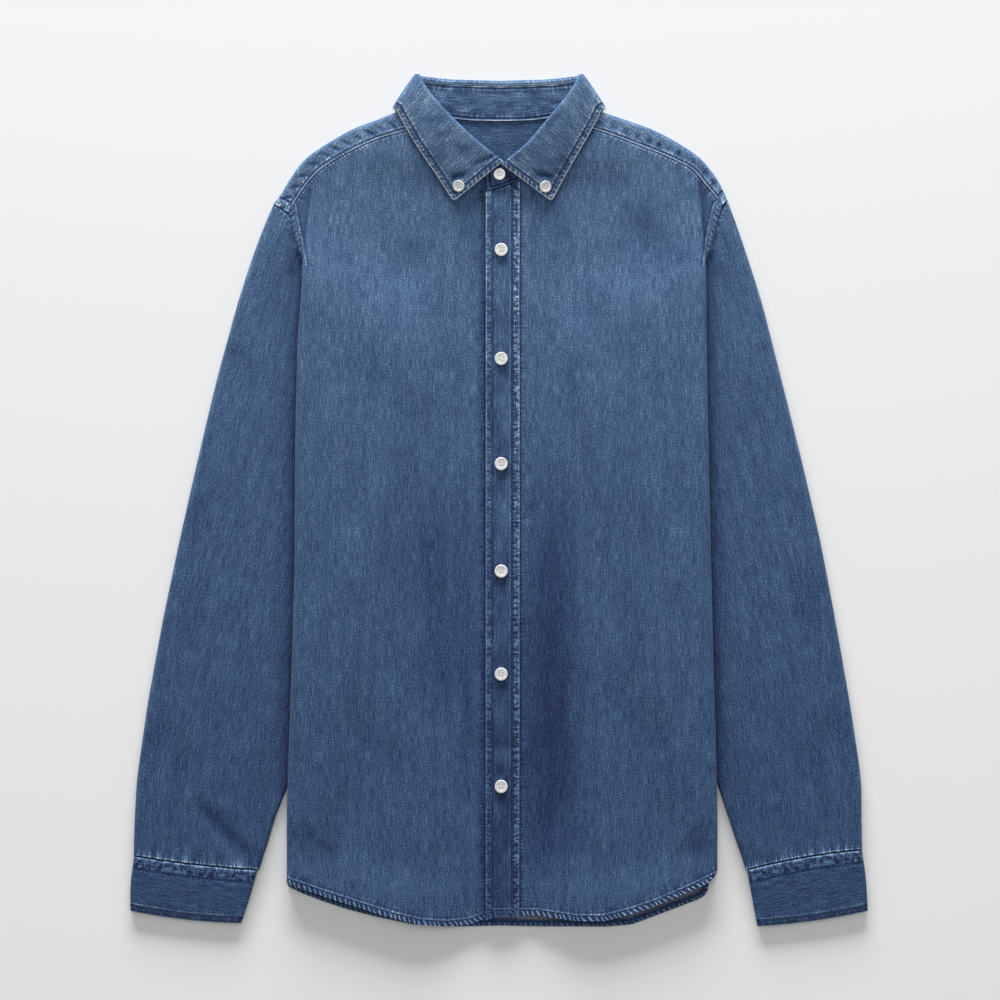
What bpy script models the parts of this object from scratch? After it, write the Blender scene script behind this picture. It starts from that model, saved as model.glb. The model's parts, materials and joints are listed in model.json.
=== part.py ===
"""Long-sleeved denim shirt, laid flat on its back with the buttoned front up.

All sizes and tables are in millimetres and the meshes are made in metres. X runs to the wearer's left, Y to
the neck and Z up. The origin is on the floor, in the middle of the shirt. The lower layer of the body rests
on the floor, rises over the sleeves tucked under its sides and over the turned-down collar at the back of the
neck, and the upper layer lies on it with a little air between.

Every piece of cloth is a sheet of points on its outer face. A Solidify modifier gives it its wall.
"""
import math
from collections import namedtuple

import bpy
import bmesh
from mathutils import Vector

MM = 0.001

# Walls of one layer of denim, and of the doubled pieces: collar, stand, cuffs and placket.
CLOTH = 1.2
DOUBLED = 2.0
PLACKET_WALL = 1.8

# Clearances: cloth lying on cloth, and the two edges of a seam in plan.
LAY_GAP = 0.5
SEAM_GAP = 0.6

# Heights of the layers.
AIR = 3.6                   # greatest space between the body's two layers
HEM_AIR = 0.5               # the same space at the hem
SLEEVE_HEIGHT = 6.2         # pressed sleeve where nothing lies on it
TUCKED_HEIGHT = 3.6         # pressed sleeve under the body
ARMHOLE_HEIGHT = 6.4        # front's edge at the armhole seam
CUFF_HEIGHT = 7.0
SLEEVE_RISE = TUCKED_HEIGHT + 0.8
FALL_RISE = DOUBLED + LAY_GAP
HEM_FADE = 90.0             # length over which the front comes down to the hem

# Buttons.
BUTTON_RADIUS = 6.1
COLLAR_BUTTON_RADIUS = 5.4
BUTTON_SEGMENTS = 18
BUTTON_GAP = 0.5
BUTTON_YS = (230.0, 130.0, 33.5, -65.0, -161.0, -264.0)
PLACKET_MIDDLE = 3.4

RIGHT, LEFT = "right", "left"           # the wearer's sides
SIGN = {RIGHT: -1.0, LEFT: 1.0}
BACK_SEAM_Y = 265.0                     # seam between back and yoke
RETURN = 14.0                           # front's cloth turned under at the side
SHORT_RETURN = 3.0                      # the same beside the armhole
CLOSE_ROWS_Y = 175.0                    # above this height the panels' rows are closer

# Cloth from the front's side fold to the armhole seam: shares of the way out and of the way down.
ARMHOLE_OUT = (0.15, 0.32, 0.55, 0.78, 1.0)
ARMHOLE_DOWN = (0.25, 0.7, 1.0, 1.0, 1.0)
ARMHOLE_HANG = (0.0, 0.0, 0.0, 0.3, 1.1)

# How far the lift of the body over a tucked sleeve reaches past the sleeve, then how far it fades.
TUCK_MARGIN, TUCK_FADE = 22.0, 45.0
CAP_MARGIN, CAP_FADE = 13.0, 30.0
CAP_SLOPE = 0.5556                      # of the hidden sleeve cap, from the underarm up and out

# Distance from the middle to the body's side fold, for each height.
Side = namedtuple("Side", "y right left")
BODY_SIDE = (
    Side(310, 167, 182),
    Side(292, 169, 183),
    Side(250, 177, 186.5),
    Side(203, 180.5, 189.5),
    Side(148, 185, 190.5),
    Side(64, 187, 192),
    Side(-73, 188, 195),
    Side(-156, 190.5, 197),
    Side(-240, 193.5, 199.5),
    Side(-290, 195, 200.5),
    Side(-400, 195, 200.5),
)

# Distance from the middle to the armhole seam, as far down as it shows.
ARMHOLE = (
    Side(300, 197, 210),
    Side(265, 193.5, 203),
    Side(240, 186.5, 195),
    Side(216, 181, 192),
    Side(200, 180, 191),
)

# Distance from the middle to the outer and inner edges of the sleeves.
SLEEVE_OUTER = (
    Side(276, 205, 209),
    Side(258, 214.5, 217),
    Side(221, 227.5, 229),
    Side(184, 239.5, 241),
    Side(111, 259.5, 259.5),
    Side(37, 277, 278),
    Side(-36, 293.5, 295),
    Side(-110, 309, 309),
    Side(-184, 322.5, 322),
    Side(-257, 333, 333),
    Side(-296, 335, 333),
    Side(-327, 336, 334),
)
SLEEVE_INNER = (
    Side(157, 97.5, 99.5),
    Side(-50, 145, 149),
    Side(-266, 194.6, 202),
    Side(-290, 206, 210.5),
    Side(-319, 213, 219.5),
    Side(-339, 221.8, 227.8),
)

# Curves in plan. Each row is a point, named by its distance from the middle.
Point = namedtuple("Point", "x y")
SHOULDER = {
    RIGHT: (Point(207, 272.6), Point(200.5, 281), Point(192.5, 294.5), Point(180.5, 311), Point(165.5, 323),
            Point(137, 339.8), Point(112, 349.3), Point(97, 355.4), Point(86, 360.4), Point(78.5, 364.5)),
    LEFT: (Point(209.5, 277), Point(201.5, 293), Point(193, 305), Point(183, 315.8), Point(166.5, 327),
           Point(143.5, 339.5), Point(120, 348), Point(97, 355.6), Point(86, 360.6), Point(78.5, 365)),
}
YOKE_SEAM = {
    RIGHT: (Point(193.5, 264.6), Point(187.8, 274.4), Point(180.4, 285.5), Point(172.6, 295.6),
            Point(162, 305.7), Point(146, 315.8), Point(128.3, 325), Point(110, 332.4), Point(87.5, 339),
            Point(65.5, 346)),
    LEFT: (Point(205.4, 271.5), Point(191.3, 288.2), Point(183, 298.4), Point(176.5, 304.8),
           Point(166.4, 310.3), Point(150.3, 317.7), Point(128.7, 326), Point(109.4, 333.3),
           Point(89, 340.2), Point(66.5, 347)),
}
# Lower edges, from the wearer's right to the left.
FRONT_HEM = (Point(-205, -346), Point(-194, -352), Point(-150, -367), Point(-101, -382.5), Point(-73, -389.5),
             Point(-47, -391.3), Point(-28, -389.5), Point(-10, -384), Point(0, -381.5), Point(35, -381),
             Point(71, -386), Point(96, -386), Point(122, -379.5), Point(149, -370), Point(177, -357.5),
             Point(201, -344), Point(210, -338))
BACK_HEM = (Point(-190, -356.5), Point(-150, -370), Point(-114, -381.5), Point(-80, -390), Point(-40, -392),
            Point(0, -391), Point(39, -391.8), Point(99, -392), Point(122, -390), Point(149, -380),
            Point(183, -366.5), Point(195, -356))

# The collar's half on each side, from its point to the side of the neck: outer edge of the leaf, top of the
# roll, and neck seam.
CollarRow = namedtuple("CollarRow", "edge_x edge_y roll_x roll_y roll_z neck_x neck_y")
COLLAR_FRONT = {
    RIGHT: (CollarRow(42, 275.4, -1.0, 312.5, 11.6, 13, 292.5),
            CollarRow(58, 299.5, 21, 335, 14.5, 32, 309.5),
            CollarRow(74, 323, 42, 357, 16.5, 50, 329.5),
            CollarRow(86, 343, 59, 375.5, 16.5, 65, 346.5),
            CollarRow(93.3, 356.6, 71, 388.4, 15.0, 77, 364)),
    LEFT: (CollarRow(48.5, 275.4, 4.0, 312.5, 11.6, 19.5, 294.5),
           CollarRow(61.5, 299.5, 24, 335, 14.5, 34, 310.5),
           CollarRow(75, 323, 43, 357, 16.5, 51, 330.5),
           CollarRow(86.5, 343, 59.5, 375.5, 16.5, 66, 347.5),
           CollarRow(93.3, 356.6, 71, 388.4, 15.0, 77, 364)),
}
# The back half lies on the floor; these rows run from the side of the neck to the middle of the back.
COLLAR_BACK = (
    CollarRow(93.3, 356.6, 71, 388.4, 0, 77, 364),
    CollarRow(66, 349.5, 50, 387.5, 0, 56, 355),
    CollarRow(34, 345, 26, 385.6, 0, 30, 350),
    CollarRow(0, 343.5, 0, 384.3, 0, 0, 348.8),
)
FRONT_STEPS, BACK_STEPS = 8, 5      # stations of the collar on each half
ROLL_RADIUS = 2.8
SEAM_BELOW_ROLL = 5.0       # from the roll's edge to the leaf's inner seam
COLLAR_CROWN = 0.8
STAND_LAP = 2.8             # drop of the stand's under end

# The stand's ends lap at the middle of the front: neck seam, top edge and height of the inner face.
StandRow = namedtuple("StandRow", "neck_x neck_y top_x top_y z")
STAND_END = {
    LEFT: (StandRow(6, 289.6, 3, 309.5, 6.0), StandRow(-3, 286.6, -5.5, 308, 6.1),
           StandRow(-10.5, 284.6, -11.6, 303, 6.0)),
    RIGHT: (StandRow(-2, 291.6, 0, 308.5, 3.4), StandRow(-14, 293.5, -12, 306, 3.4)),
}

# Cuffs: the seam to the sleeve and the open lower edge, outer and inner corners.
CuffRow = namedtuple("CuffRow", "outer_x outer_y inner_x inner_y bow")
CUFF = {
    RIGHT: (CuffRow(335.5, -327.2, 222, -340, 1.5), CuffRow(338.6, -352, 229, -364.5, 2.0),
            CuffRow(338.9, -377, 237, -388.4, 2.4)),
    LEFT: (CuffRow(333.6, -321.7, 228, -340, -2.5), CuffRow(337.2, -349, 232.5, -365.5, -0.5),
           CuffRow(338.9, -377, 237.3, -391.2, 2.2)),
}

# Main folds of the fronts: a trough from one end to the other.
Fold = namedtuple("Fold", "x0 y0 x1 y1 width depth")
FOLDS = (
    Fold(44, 70, 57, -372, 17, 1.9),
    Fold(-62, 40, -52, -230, 20, 0.9),
    Fold(112, 275, 168, 205, 15, 0.9),
    Fold(-30, 60, -27, -330, 9, 0.7),
)

DENIM = (0.075, 0.125, 0.235, 1.0)
DENIM_DARK = (0.052, 0.09, 0.175, 1.0)
DENIM_LIGHT = (0.10, 0.16, 0.285, 1.0)
BUTTON_WHITE = (0.72, 0.73, 0.72, 1.0)


# ---------------------------------------------------------------- curves

def ease(value):
    """Smooth step from 0 to 1."""
    value = min(max(value, 0.0), 1.0)
    return value * value * (3.0 - 2.0 * value)


def blend_rows(rows, place):
    """Row at a fractional place in a table, on a smooth curve through its rows."""
    last = len(rows) - 1
    place = min(max(place, 0.0), float(last))
    start = min(int(place), last - 1)
    part = place - start
    before, first = rows[max(start - 1, 0)], rows[start]
    second, after = rows[start + 1], rows[min(start + 2, last)]
    mixed = []
    for a, b, c, d in zip(before, first, second, after):
        into, out = (c - a) / 2.0, (d - b) / 2.0
        square, cube = part * part, part ** 3
        mixed.append(b * (2 * cube - 3 * square + 1) + into * (cube - 2 * square + part)
                     + c * (3 * square - 2 * cube) + out * (cube - square))
    return type(first)(*mixed)


def read(rows, key, column, value):
    """Column of a table at a value of its key, straight between rows; keys fall or rise in order."""
    rising = getattr(rows[-1], key) > getattr(rows[0], key)
    ordered = rows if rising else rows[::-1]
    for first, second in zip(ordered, ordered[1:]):
        if value <= getattr(second, key):
            break
    low, high = getattr(first, key), getattr(second, key)
    part = min(max((value - low) / (high - low), 0.0), 1.0)
    return getattr(first, column) * (1 - part) + getattr(second, column) * part


def smooth_read(rows, key, column, value):
    """Reading softened over its neighbours, so that an edge has no corners at the rows."""
    reach = 14.0
    around = [read(rows, key, column, value + offset) for offset in (-reach, 0.0, reach)]
    return around[0] / 4 + around[1] / 2 + around[2] / 4


def spaced(points, count):
    """Points at equal steps along a smooth curve through the given points."""
    fine = [blend_rows(points, (len(points) - 1) * i / 200.0) for i in range(201)]
    lengths = [0.0]
    for a, b in zip(fine, fine[1:]):
        lengths.append(lengths[-1] + math.dist(a, b))
    found, index = [], 0
    for step in range(count):
        target = lengths[-1] * step / (count - 1)
        while index < 199 and lengths[index + 1] < target:
            index += 1
        part = (target - lengths[index]) / (lengths[index + 1] - lengths[index])
        found.append(tuple(a + (b - a) * part for a, b in zip(fine[index], fine[index + 1])))
    return found


def neck_line(rows, steps):
    """Neck seam in plan, through the collar's stations."""
    stations = [blend_rows(rows, (len(rows) - 1) * step / steps) for step in range(steps + 1)]
    return [Point(row.neck_x, row.neck_y) for row in stations]


def solve_edge(column, edge, low, high):
    """Height y at which a column, x for each y, meets an edge, y for each x."""
    for _ in range(40):
        middle = (low + high) / 2
        if edge(column(middle)) > middle:
            low = middle
        else:
            high = middle
    return (low + high) / 2


# ---------------------------------------------------------------- layers

def over_sleeve(x, y):
    """1 where a tucked sleeve lies under the body, falling to 0 around it."""
    side = LEFT if x > 0 else RIGHT
    out = abs(x)
    inner = SLEEVE_INNER[0]
    reach = getattr(inner, side)
    end = SLEEVE_INNER[2]
    slope = (getattr(end, side) - reach) / (end.y - inner.y)
    beyond_inner = reach + slope * (y - inner.y) - out
    above_cap = y - (inner.y + (out - reach) * CAP_SLOPE)
    below_end = end.y - y
    around = 1.0 - ease((max(beyond_inner, below_end) - TUCK_MARGIN) / TUCK_FADE)
    return around * (1.0 - ease((above_cap - CAP_MARGIN) / CAP_FADE))


def over_fall(x, y):
    """1 where the turned-down collar lies under the yoke, falling to 0 around it."""
    return ease((y - 283.0) / 42.0) * ease((142.0 - abs(x)) / 34.0)


def lower(x, y):
    """Height of the lower layer's outer face, against the floor."""
    return SLEEVE_RISE * over_sleeve(x, y) + FALL_RISE * over_fall(x, y)


def fold_depth(x, y):
    """Depth of the main folds at a place on the front."""
    depth = 0.0
    for fold in FOLDS:
        along = Vector((fold.x1 - fold.x0, fold.y1 - fold.y0))
        offset = Vector((x - fold.x0, y - fold.y0))
        part = offset.dot(along) / along.length_squared
        across = abs(offset.x * along.y - offset.y * along.x) / along.length
        ends = ease(part * 3.0) * ease((1.0 - part) * 4.0)
        depth += fold.depth * ends * math.exp(-(across / fold.width) ** 2)
    return depth


def upper(x, y):
    """Height of the upper layer's outer face."""
    dip = 1.3 * (1.0 - ease((abs(x - PLACKET_MIDDLE) - 22.0) / 60.0)) * ease((330.0 - y) / 40.0)
    folds = fold_depth(x, y) * ease((abs(x - PLACKET_MIDDLE) - 17.0) / 10.0)
    from_hem = y - read(FRONT_HEM, "x", "y", x)
    air = HEM_AIR + (AIR - HEM_AIR - dip - folds) * ease(from_hem / HEM_FADE)
    return lower(x, y) + 2 * CLOTH + air


def sleeve_top(x, y):
    """Height of a sleeve's upper face: pressed under the body, fuller beside it."""
    side = LEFT if x > 0 else RIGHT
    outside = abs(x) - smooth_read(BODY_SIDE, "y", side, y)
    start = 7.0 - 6.0 * ease((y - 205.0) / 15.0)
    return TUCKED_HEIGHT + (SLEEVE_HEIGHT - TUCKED_HEIGHT) * ease((outside - start) / 16.0)


# ---------------------------------------------------------------- meshes

def make_material(name, colour, roughness):
    """Plain Principled finish."""
    material = bpy.data.materials.new(name)
    material.use_nodes = True
    shader = material.node_tree.nodes["Principled BSDF"]
    shader.inputs["Base Color"].default_value = colour
    shader.inputs["Roughness"].default_value = roughness
    shader.inputs["Metallic"].default_value = 0.0
    return material


def add_object(name, points, faces, colour, roughness=0.85):
    """Object from points in millimetres, smooth shaded, with its own material."""
    mesh = bpy.data.meshes.new(name)
    mesh.from_pydata([(x * MM, y * MM, z * MM) for x, y, z in points], [], faces)
    mesh.update()
    mesh.shade_smooth()
    mesh.set_sharp_from_angle(angle=math.radians(40))
    item = bpy.data.objects.new(name, mesh)
    bpy.context.scene.collection.objects.link(item)
    mesh.materials.append(make_material(name + "_finish", colour, roughness))
    return item


def add_cloth(name, points, faces, wall, colour):
    """Sheet given by its outer face, thickened inwards to a closed wall."""
    item = add_object(name, points, faces, colour)
    thicken = item.modifiers.new("wall", "SOLIDIFY")
    thicken.thickness = wall * MM
    thicken.offset = -1.0
    thicken.use_even_offset = True
    thicken.use_quality_normals = True
    return item


def grid_faces(rows, columns, around=False, flip=False, start=0):
    """Faces of a grid of points stored row by row; around closes each row on itself."""
    faces = []
    for row in range(rows - 1):
        for column in range(columns if around else columns - 1):
            beside = (column + 1) % columns
            face = (start + row * columns + column, start + row * columns + beside,
                    start + (row + 1) * columns + beside, start + (row + 1) * columns + column)
            faces.append(face[::-1] if flip else face)
    return faces


# ---------------------------------------------------------------- body

def make_back():
    """Back panel: outer face down, on the floor and over the tucked sleeves."""
    columns, low_rows, high_rows = 18, 14, 7

    def half_width(side, y):
        """Distance from the middle to the back's edge: armhole above, side seam below."""
        turned = smooth_read(BODY_SIDE, "y", side, y) - RETURN - AIR - SEAM_GAP
        armhole = smooth_read(ARMHOLE, "y", side, y) - SEAM_GAP / 2
        return turned + (armhole - turned) * ease((y - 206.0) / 26.0)

    points = []
    for column in range(columns):
        across = 2.0 * column / (columns - 1) - 1.0
        side = LEFT if across > 0 else RIGHT

        def place(y, across=across, side=side):
            return across * half_width(side, y)

        bottom = solve_edge(place, lambda x: smooth_read(BACK_HEM, "x", "y", x), -420.0, -300.0)
        for y in row_heights(bottom, BACK_SEAM_Y - SEAM_GAP, low_rows, high_rows):
            x = place(y)
            points.append((x, y, lower(x, y)))
    faces = grid_faces(columns, low_rows + high_rows)
    return add_cloth("back", points, faces, CLOTH, DENIM_DARK)


def row_heights(bottom, top, low_rows, high_rows):
    """Heights of a column's points: even up from the hem, then closer to its upper end."""
    heights = [bottom + (CLOSE_ROWS_Y - bottom) * row / low_rows for row in range(low_rows)]
    return heights + [CLOSE_ROWS_Y + (top - CLOSE_ROWS_Y) * row / (high_rows - 1) for row in range(high_rows)]


def front_column(side, index, inner_x, shares):
    """Column of a front: x for each y. Past the crest the cloth turns under, or steps to the armhole."""
    sign = SIGN[side]

    def fold_radius(x, y):
        return (upper(x, y) - lower(x, y)) / 2.0

    def opening(y):
        """0 where the edge is turned under the body, 1 where it steps down to the armhole seam."""
        return ease((y - 196.0) / 30.0)

    def place(y):
        edge = smooth_read(BODY_SIDE, "y", side, y)
        radius = fold_radius(sign * edge, y)
        crest = edge - radius
        if index < len(shares):
            return inner_x + (sign * crest - inner_x) * shares[index]
        turn = index - len(shares) + 1
        if turn <= 4:
            under = crest + radius * math.sin(math.radians(45.0 * turn))
        else:
            under = crest - SHORT_RETURN - (RETURN - SHORT_RETURN) * ease((200.0 - y) / 25.0)
        armhole = smooth_read(ARMHOLE, "y", side, y) - SEAM_GAP / 2
        step = crest + (armhole - crest) * ARMHOLE_OUT[turn - 1]
        return sign * (under + (step - under) * opening(y))

    def height(x, y):
        top = upper(x, y)
        if index < len(shares):
            return top
        edge = sign * smooth_read(BODY_SIDE, "y", side, y)
        radius = fold_radius(edge, y)
        turn = index - len(shares) + 1
        top = upper(edge, y)
        under = top - radius * (1.0 - math.cos(math.radians(45.0 * min(turn, 4))))
        seam = min(ARMHOLE_HEIGHT, top)
        step = top + (seam - top) * ARMHOLE_DOWN[turn - 1]
        open_share = opening(y)
        hang = ARMHOLE_HANG[turn - 1] * 4.0 * open_share * (1.0 - open_share)
        return under + (step - under) * open_share - hang

    return place, height


def make_front(side, inner_x):
    """Front panel with its side fold: top face up, then round the fold and a little way under."""
    low_rows, high_rows = 13, 11
    corner = 0.47 if side == RIGHT else 0.37
    shares = [corner * step / 6.0 for step in range(6)]
    shares += [corner + (1.0 - corner) * step / 7.0 for step in range(8)]
    columns = len(shares) + 5
    sign = SIGN[side]
    seam = YOKE_SEAM[side]
    neck = neck_line(COLLAR_FRONT[side], FRONT_STEPS)
    lap = {RIGHT: (Point(-20, 289.6), Point(4, 289.6)), LEFT: (Point(14, 289.8),)}[side]
    neck = list(lap) + neck

    def top_edge(x):
        out = sign * x
        if out < seam[-1].x:
            return read(neck, "x", "y", out) - SEAM_GAP / 2
        return read(seam, "x", "y", out) - 1.6 * SEAM_GAP

    points = []
    for index in range(columns):
        place, height = front_column(side, index, inner_x, shares)
        bottom = solve_edge(place, lambda x: read(FRONT_HEM, "x", "y", x), -420.0, -300.0)
        top = solve_edge(place, top_edge, 190.0, 360.0)
        for y in row_heights(bottom, top, low_rows, high_rows):
            x = place(y)
            points.append((x, y, height(x, y)))
    faces = grid_faces(columns, low_rows + high_rows, flip=side == LEFT)
    return add_cloth("front_" + side, points, faces, CLOTH, DENIM)


def make_placket():
    """Folded strip over the meeting edges of the fronts."""
    rows = 33
    points = []
    for row in range(rows):
        part = row / (rows - 1)
        for x, top_y in ((-12.2, 283.6), (-4.5, 286.2), (3.4, 288.8), (11.2, 291.0), (18.6, 292.6)):
            bottom = read(FRONT_HEM, "x", "y", x) - 1.0
            y = bottom + (top_y - SEAM_GAP - bottom) * part
            points.append((x, y, upper(x, y) + LAY_GAP + PLACKET_WALL))
    return add_cloth("placket", points, grid_faces(rows, 5), PLACKET_WALL, DENIM)


def make_yoke():
    """Yoke: lower layer from the back seam, over both shoulders to the front seams, open at the neck."""
    columns, under, over = 13, 5, 3
    arc = (30.0, 60.0, 90.0, 120.0, 150.0)
    depth = under + len(arc) + 1 + over
    points, faces = [], []

    for side in (RIGHT, LEFT):
        sign = SIGN[side]
        start = len(points)
        folds = spaced(SHOULDER[side], columns)
        seams = spaced(YOKE_SEAM[side], columns)
        for index, (fold, seam) in enumerate(zip(folds, seams)):
            part = index / (columns - 1)
            end = smooth_read(ARMHOLE, "y", side, BACK_SEAM_Y) - SEAM_GAP / 2
            back = Vector((end + (folds[-1][0] - end) * part, BACK_SEAM_Y))
            fold, seam = Vector(fold), Vector(seam)
            middle = lower(sign * fold.x, fold.y) + CLOTH + AIR / 2
            radius = CLOTH + AIR / 2
            inward = (seam - fold).normalized()
            low_end = fold + (back - fold).normalized() * radius
            high_end = fold + inward * radius
            for step in range(under):
                spot = back.lerp(low_end, step / under)
                points.append((sign * spot.x, spot.y, lower(sign * spot.x, spot.y)))
            points.append((sign * low_end.x, low_end.y, lower(sign * low_end.x, low_end.y)))
            for angle in arc:
                swing = math.radians(angle)
                spot = low_end.lerp(high_end, angle / 180.0)
                spot = fold + (spot - fold) * (1.0 - math.sin(swing))
                points.append((sign * spot.x, spot.y, middle - radius * math.cos(swing)))
            for step in range(over):
                spot = high_end.lerp(seam, (step + 1) / over)
                points.append((sign * spot.x, spot.y, upper(sign * spot.x, spot.y)))
        faces += grid_faces(columns, depth, flip=side == LEFT, start=start)

    # The middle patch joins the two shoulders' neck columns below the back of the neck.
    neck_rows = under + 1
    middle_columns = 13
    first = (columns - 1) * depth
    second = (2 * columns - 1) * depth
    left_x, right_x = points[second][0], points[first][0]
    neck = neck_line(COLLAR_BACK, BACK_STEPS)
    strips = [[first + row for row in range(neck_rows)]]
    for column in range(1, middle_columns - 1):
        x = right_x + (left_x - right_x) * column / (middle_columns - 1)
        top = read(neck, "x", "y", abs(x)) - SEAM_GAP / 2
        strip = []
        for row in range(neck_rows):
            y = BACK_SEAM_Y + (top - BACK_SEAM_Y) * row / (neck_rows - 1)
            strip.append(len(points))
            points.append((x, y, lower(x, y)))
        strips.append(strip)
    strips.append([second + row for row in range(neck_rows)])
    for one, other in zip(strips, strips[1:]):
        for row in range(neck_rows - 1):
            faces.append((one[row], one[row + 1], other[row + 1], other[row]))
    return add_cloth("yoke", points, faces, CLOTH, DENIM_LIGHT)


# ---------------------------------------------------------------- sleeves and cuffs

def flat_loop(spot, width, height, tops, unders):
    """Loop round a pressed tube: over its top, round the inner edge, back along the floor and round the
    outer edge. The spot function gives the place in plan for a share of the width from the outer edge."""
    tall = (height(*spot(0.0)), height(*spot(1.0)))
    inset = (tall[0] / 2.0 / width, tall[1] / 2.0 / width)
    loop = []
    for step in range(tops):
        share = inset[0] + (1.0 - inset[0] - inset[1]) * step / (tops - 1)
        place = spot(share)
        loop.append((place.x, place.y, height(*place)))
    for angle in (45.0, 90.0, 135.0):
        swing = math.radians(angle)
        place = spot(1.0 - inset[1] * (1.0 - math.sin(swing)))
        loop.append((place.x, place.y, tall[1] / 2.0 * (1.0 + math.cos(swing))))
    for step in range(unders):
        share = 1.0 - inset[1] - (1.0 - inset[0] - inset[1]) * step / (unders - 1)
        place = spot(share)
        loop.append((place.x, place.y, 0.0))
    for angle in (135.0, 90.0, 45.0):
        swing = math.radians(angle)
        place = spot(inset[0] * (1.0 - math.sin(swing)))
        loop.append((place.x, place.y, tall[0] / 2.0 * (1.0 + math.cos(swing))))
    return loop


def make_sleeve(side):
    """Sleeve: a pressed tube from the armhole, under the body's side, to the cuff."""
    sign = SIGN[side]
    stations = 17
    cap_end, shoulder, cuff = SLEEVE_INNER[0], SHOULDER[side][0], CUFF[side][0]
    cap = [Point(shoulder.x + 1.5 * SEAM_GAP, shoulder.y - 1.5 * SEAM_GAP)]
    cap += [Point(smooth_read(ARMHOLE, "y", side, y) + 1.5 * SEAM_GAP, y)
            for y in (262, 250, 238, 226, 214)]
    cap += [Point(getattr(ARMHOLE[3], side) - 8.0, 201.0), Point(getattr(cap_end, side), cap_end.y)]
    cap = [Vector(point) for point in spaced(cap, 41)]
    chord = [cap[0].lerp(cap[-1], index / 40.0) for index in range(41)]

    points = []
    for station in range(stations):
        run = (station / (stations - 1)) ** 1.15
        outer_y = cap[0].y + (cuff.outer_y + SEAM_GAP - cap[0].y) * run
        inner_y = cap_end.y + (cuff.inner_y + SEAM_GAP - cap_end.y) * run
        outer = Vector((smooth_read(SLEEVE_OUTER, "y", side, outer_y), outer_y))
        outer = cap[0].lerp(outer, ease(run * 12.0))
        inner = Vector((smooth_read(SLEEVE_INNER, "y", side, inner_y), inner_y))
        fade = (1.0 - run) ** 4

        def spot(share):
            """Place in plan: straight across, bowed to the armhole's curve near the cap."""
            index = min(int(share * 40.0), 39)
            part = share * 40.0 - index
            bow = cap[index].lerp(cap[index + 1], part) - chord[index].lerp(chord[index + 1], part)
            cuff_bow = Vector((0.0, cuff.bow * 4.0 * share * (1.0 - share)))
            return outer.lerp(inner, share) + bow * fade - cuff_bow * run ** 8

        loop = flat_loop(spot, (inner - outer).length, lambda x, y: sleeve_top(sign * x, y), 10, 7)
        points += [(sign * x, y, z) for x, y, z in loop]
    count = len(points) // stations
    faces = grid_faces(stations, count, around=True, flip=side == RIGHT)
    return add_cloth("sleeve_" + side, points, faces, CLOTH, DENIM)


def make_cuff(side):
    """Cuff: a doubled band, pressed flat."""
    sign = SIGN[side]
    points = []
    for row in CUFF[side]:
        outer, inner = Vector((row.outer_x, row.outer_y)), Vector((row.inner_x, row.inner_y))

        def spot(share):
            """Place in plan across the band, whose edges bow a little towards the hand."""
            return outer.lerp(inner, share) - Vector((0.0, row.bow * 4.0 * share * (1.0 - share)))

        loop = flat_loop(spot, (inner - outer).length, lambda x, y: CUFF_HEIGHT, 5, 4)
        points += [(sign * x, y, z) for x, y, z in loop]
    count = len(points) // len(CUFF[side])
    faces = grid_faces(len(CUFF[side]), count, around=True, flip=side == RIGHT)
    return add_cloth("cuff_" + side, points, faces, DOUBLED, DENIM_DARK)


# ---------------------------------------------------------------- collar

def leaf_section(row, side, front):
    """Leaf across one station, on its outer face: outer edge, over the roll, to the inner seam."""
    sign = SIGN[side]
    roll, edge = Vector((row.roll_x, row.roll_y)), Vector((row.edge_x, row.edge_y))
    width = (edge - roll).length
    out = (edge - roll) / width
    low = upper(sign * edge.x, edge.y) + LAY_GAP + DOUBLED if front else 0.0
    high = row.roll_z if front else 0.0
    turn = -1.0 if front else 1.0
    spots = []
    for share in (1.0, 0.75, 0.5, 0.28):
        crown = COLLAR_CROWN * 4.0 * share * (1.0 - share) if front else 0.0
        spots.append((width * share, low + (high - low) * (1.0 - share) + crown))
    for angle in (0.0, 45.0, 90.0, 135.0, 180.0):
        swing = math.radians(angle)
        spots.append((ROLL_RADIUS * (1.0 - math.sin(swing)),
                      high + turn * ROLL_RADIUS * (1.0 - math.cos(swing))))
    spots.append((SEAM_BELOW_ROLL, high + turn * 2.0 * ROLL_RADIUS))
    section = []
    for distance, z in spots:
        flat = roll + out * distance
        section.append(Vector((sign * flat.x, flat.y, z)))
    return section


def stand_section(row, side, front):
    """Stand across one station, on its inner face: from the leaf's seam to the neck seam."""
    sign = SIGN[side]
    roll, neck = Vector((row.roll_x, row.roll_y)), Vector((row.neck_x, row.neck_y))
    leaf_out = (Vector((row.edge_x, row.edge_y)) - roll).normalized()
    top = roll + leaf_out * (SEAM_BELOW_ROLL + 1.3 * SEAM_GAP)
    foot = neck + (top - neck).normalized() * (2.0 if front else 1.0) * SEAM_GAP
    high = row.roll_z - 2 * ROLL_RADIUS if front else 2 * ROLL_RADIUS
    level = lower(sign * neck.x, neck.y) + DOUBLED
    if front:
        level = upper(sign * neck.x, neck.y) + LAY_GAP - DOUBLED
        near_end = 1.0 - ease((row.neck_y - 294.0) / 25.0)
        if side == RIGHT:
            high -= STAND_LAP * near_end
        else:
            level += DOUBLED * near_end
    section = []
    for share in (0.0, 0.5, 1.0):
        flat = top.lerp(foot, share)
        section.append(Vector((sign * flat.x, flat.y, high + (level - high) * share)))
    return section


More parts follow.
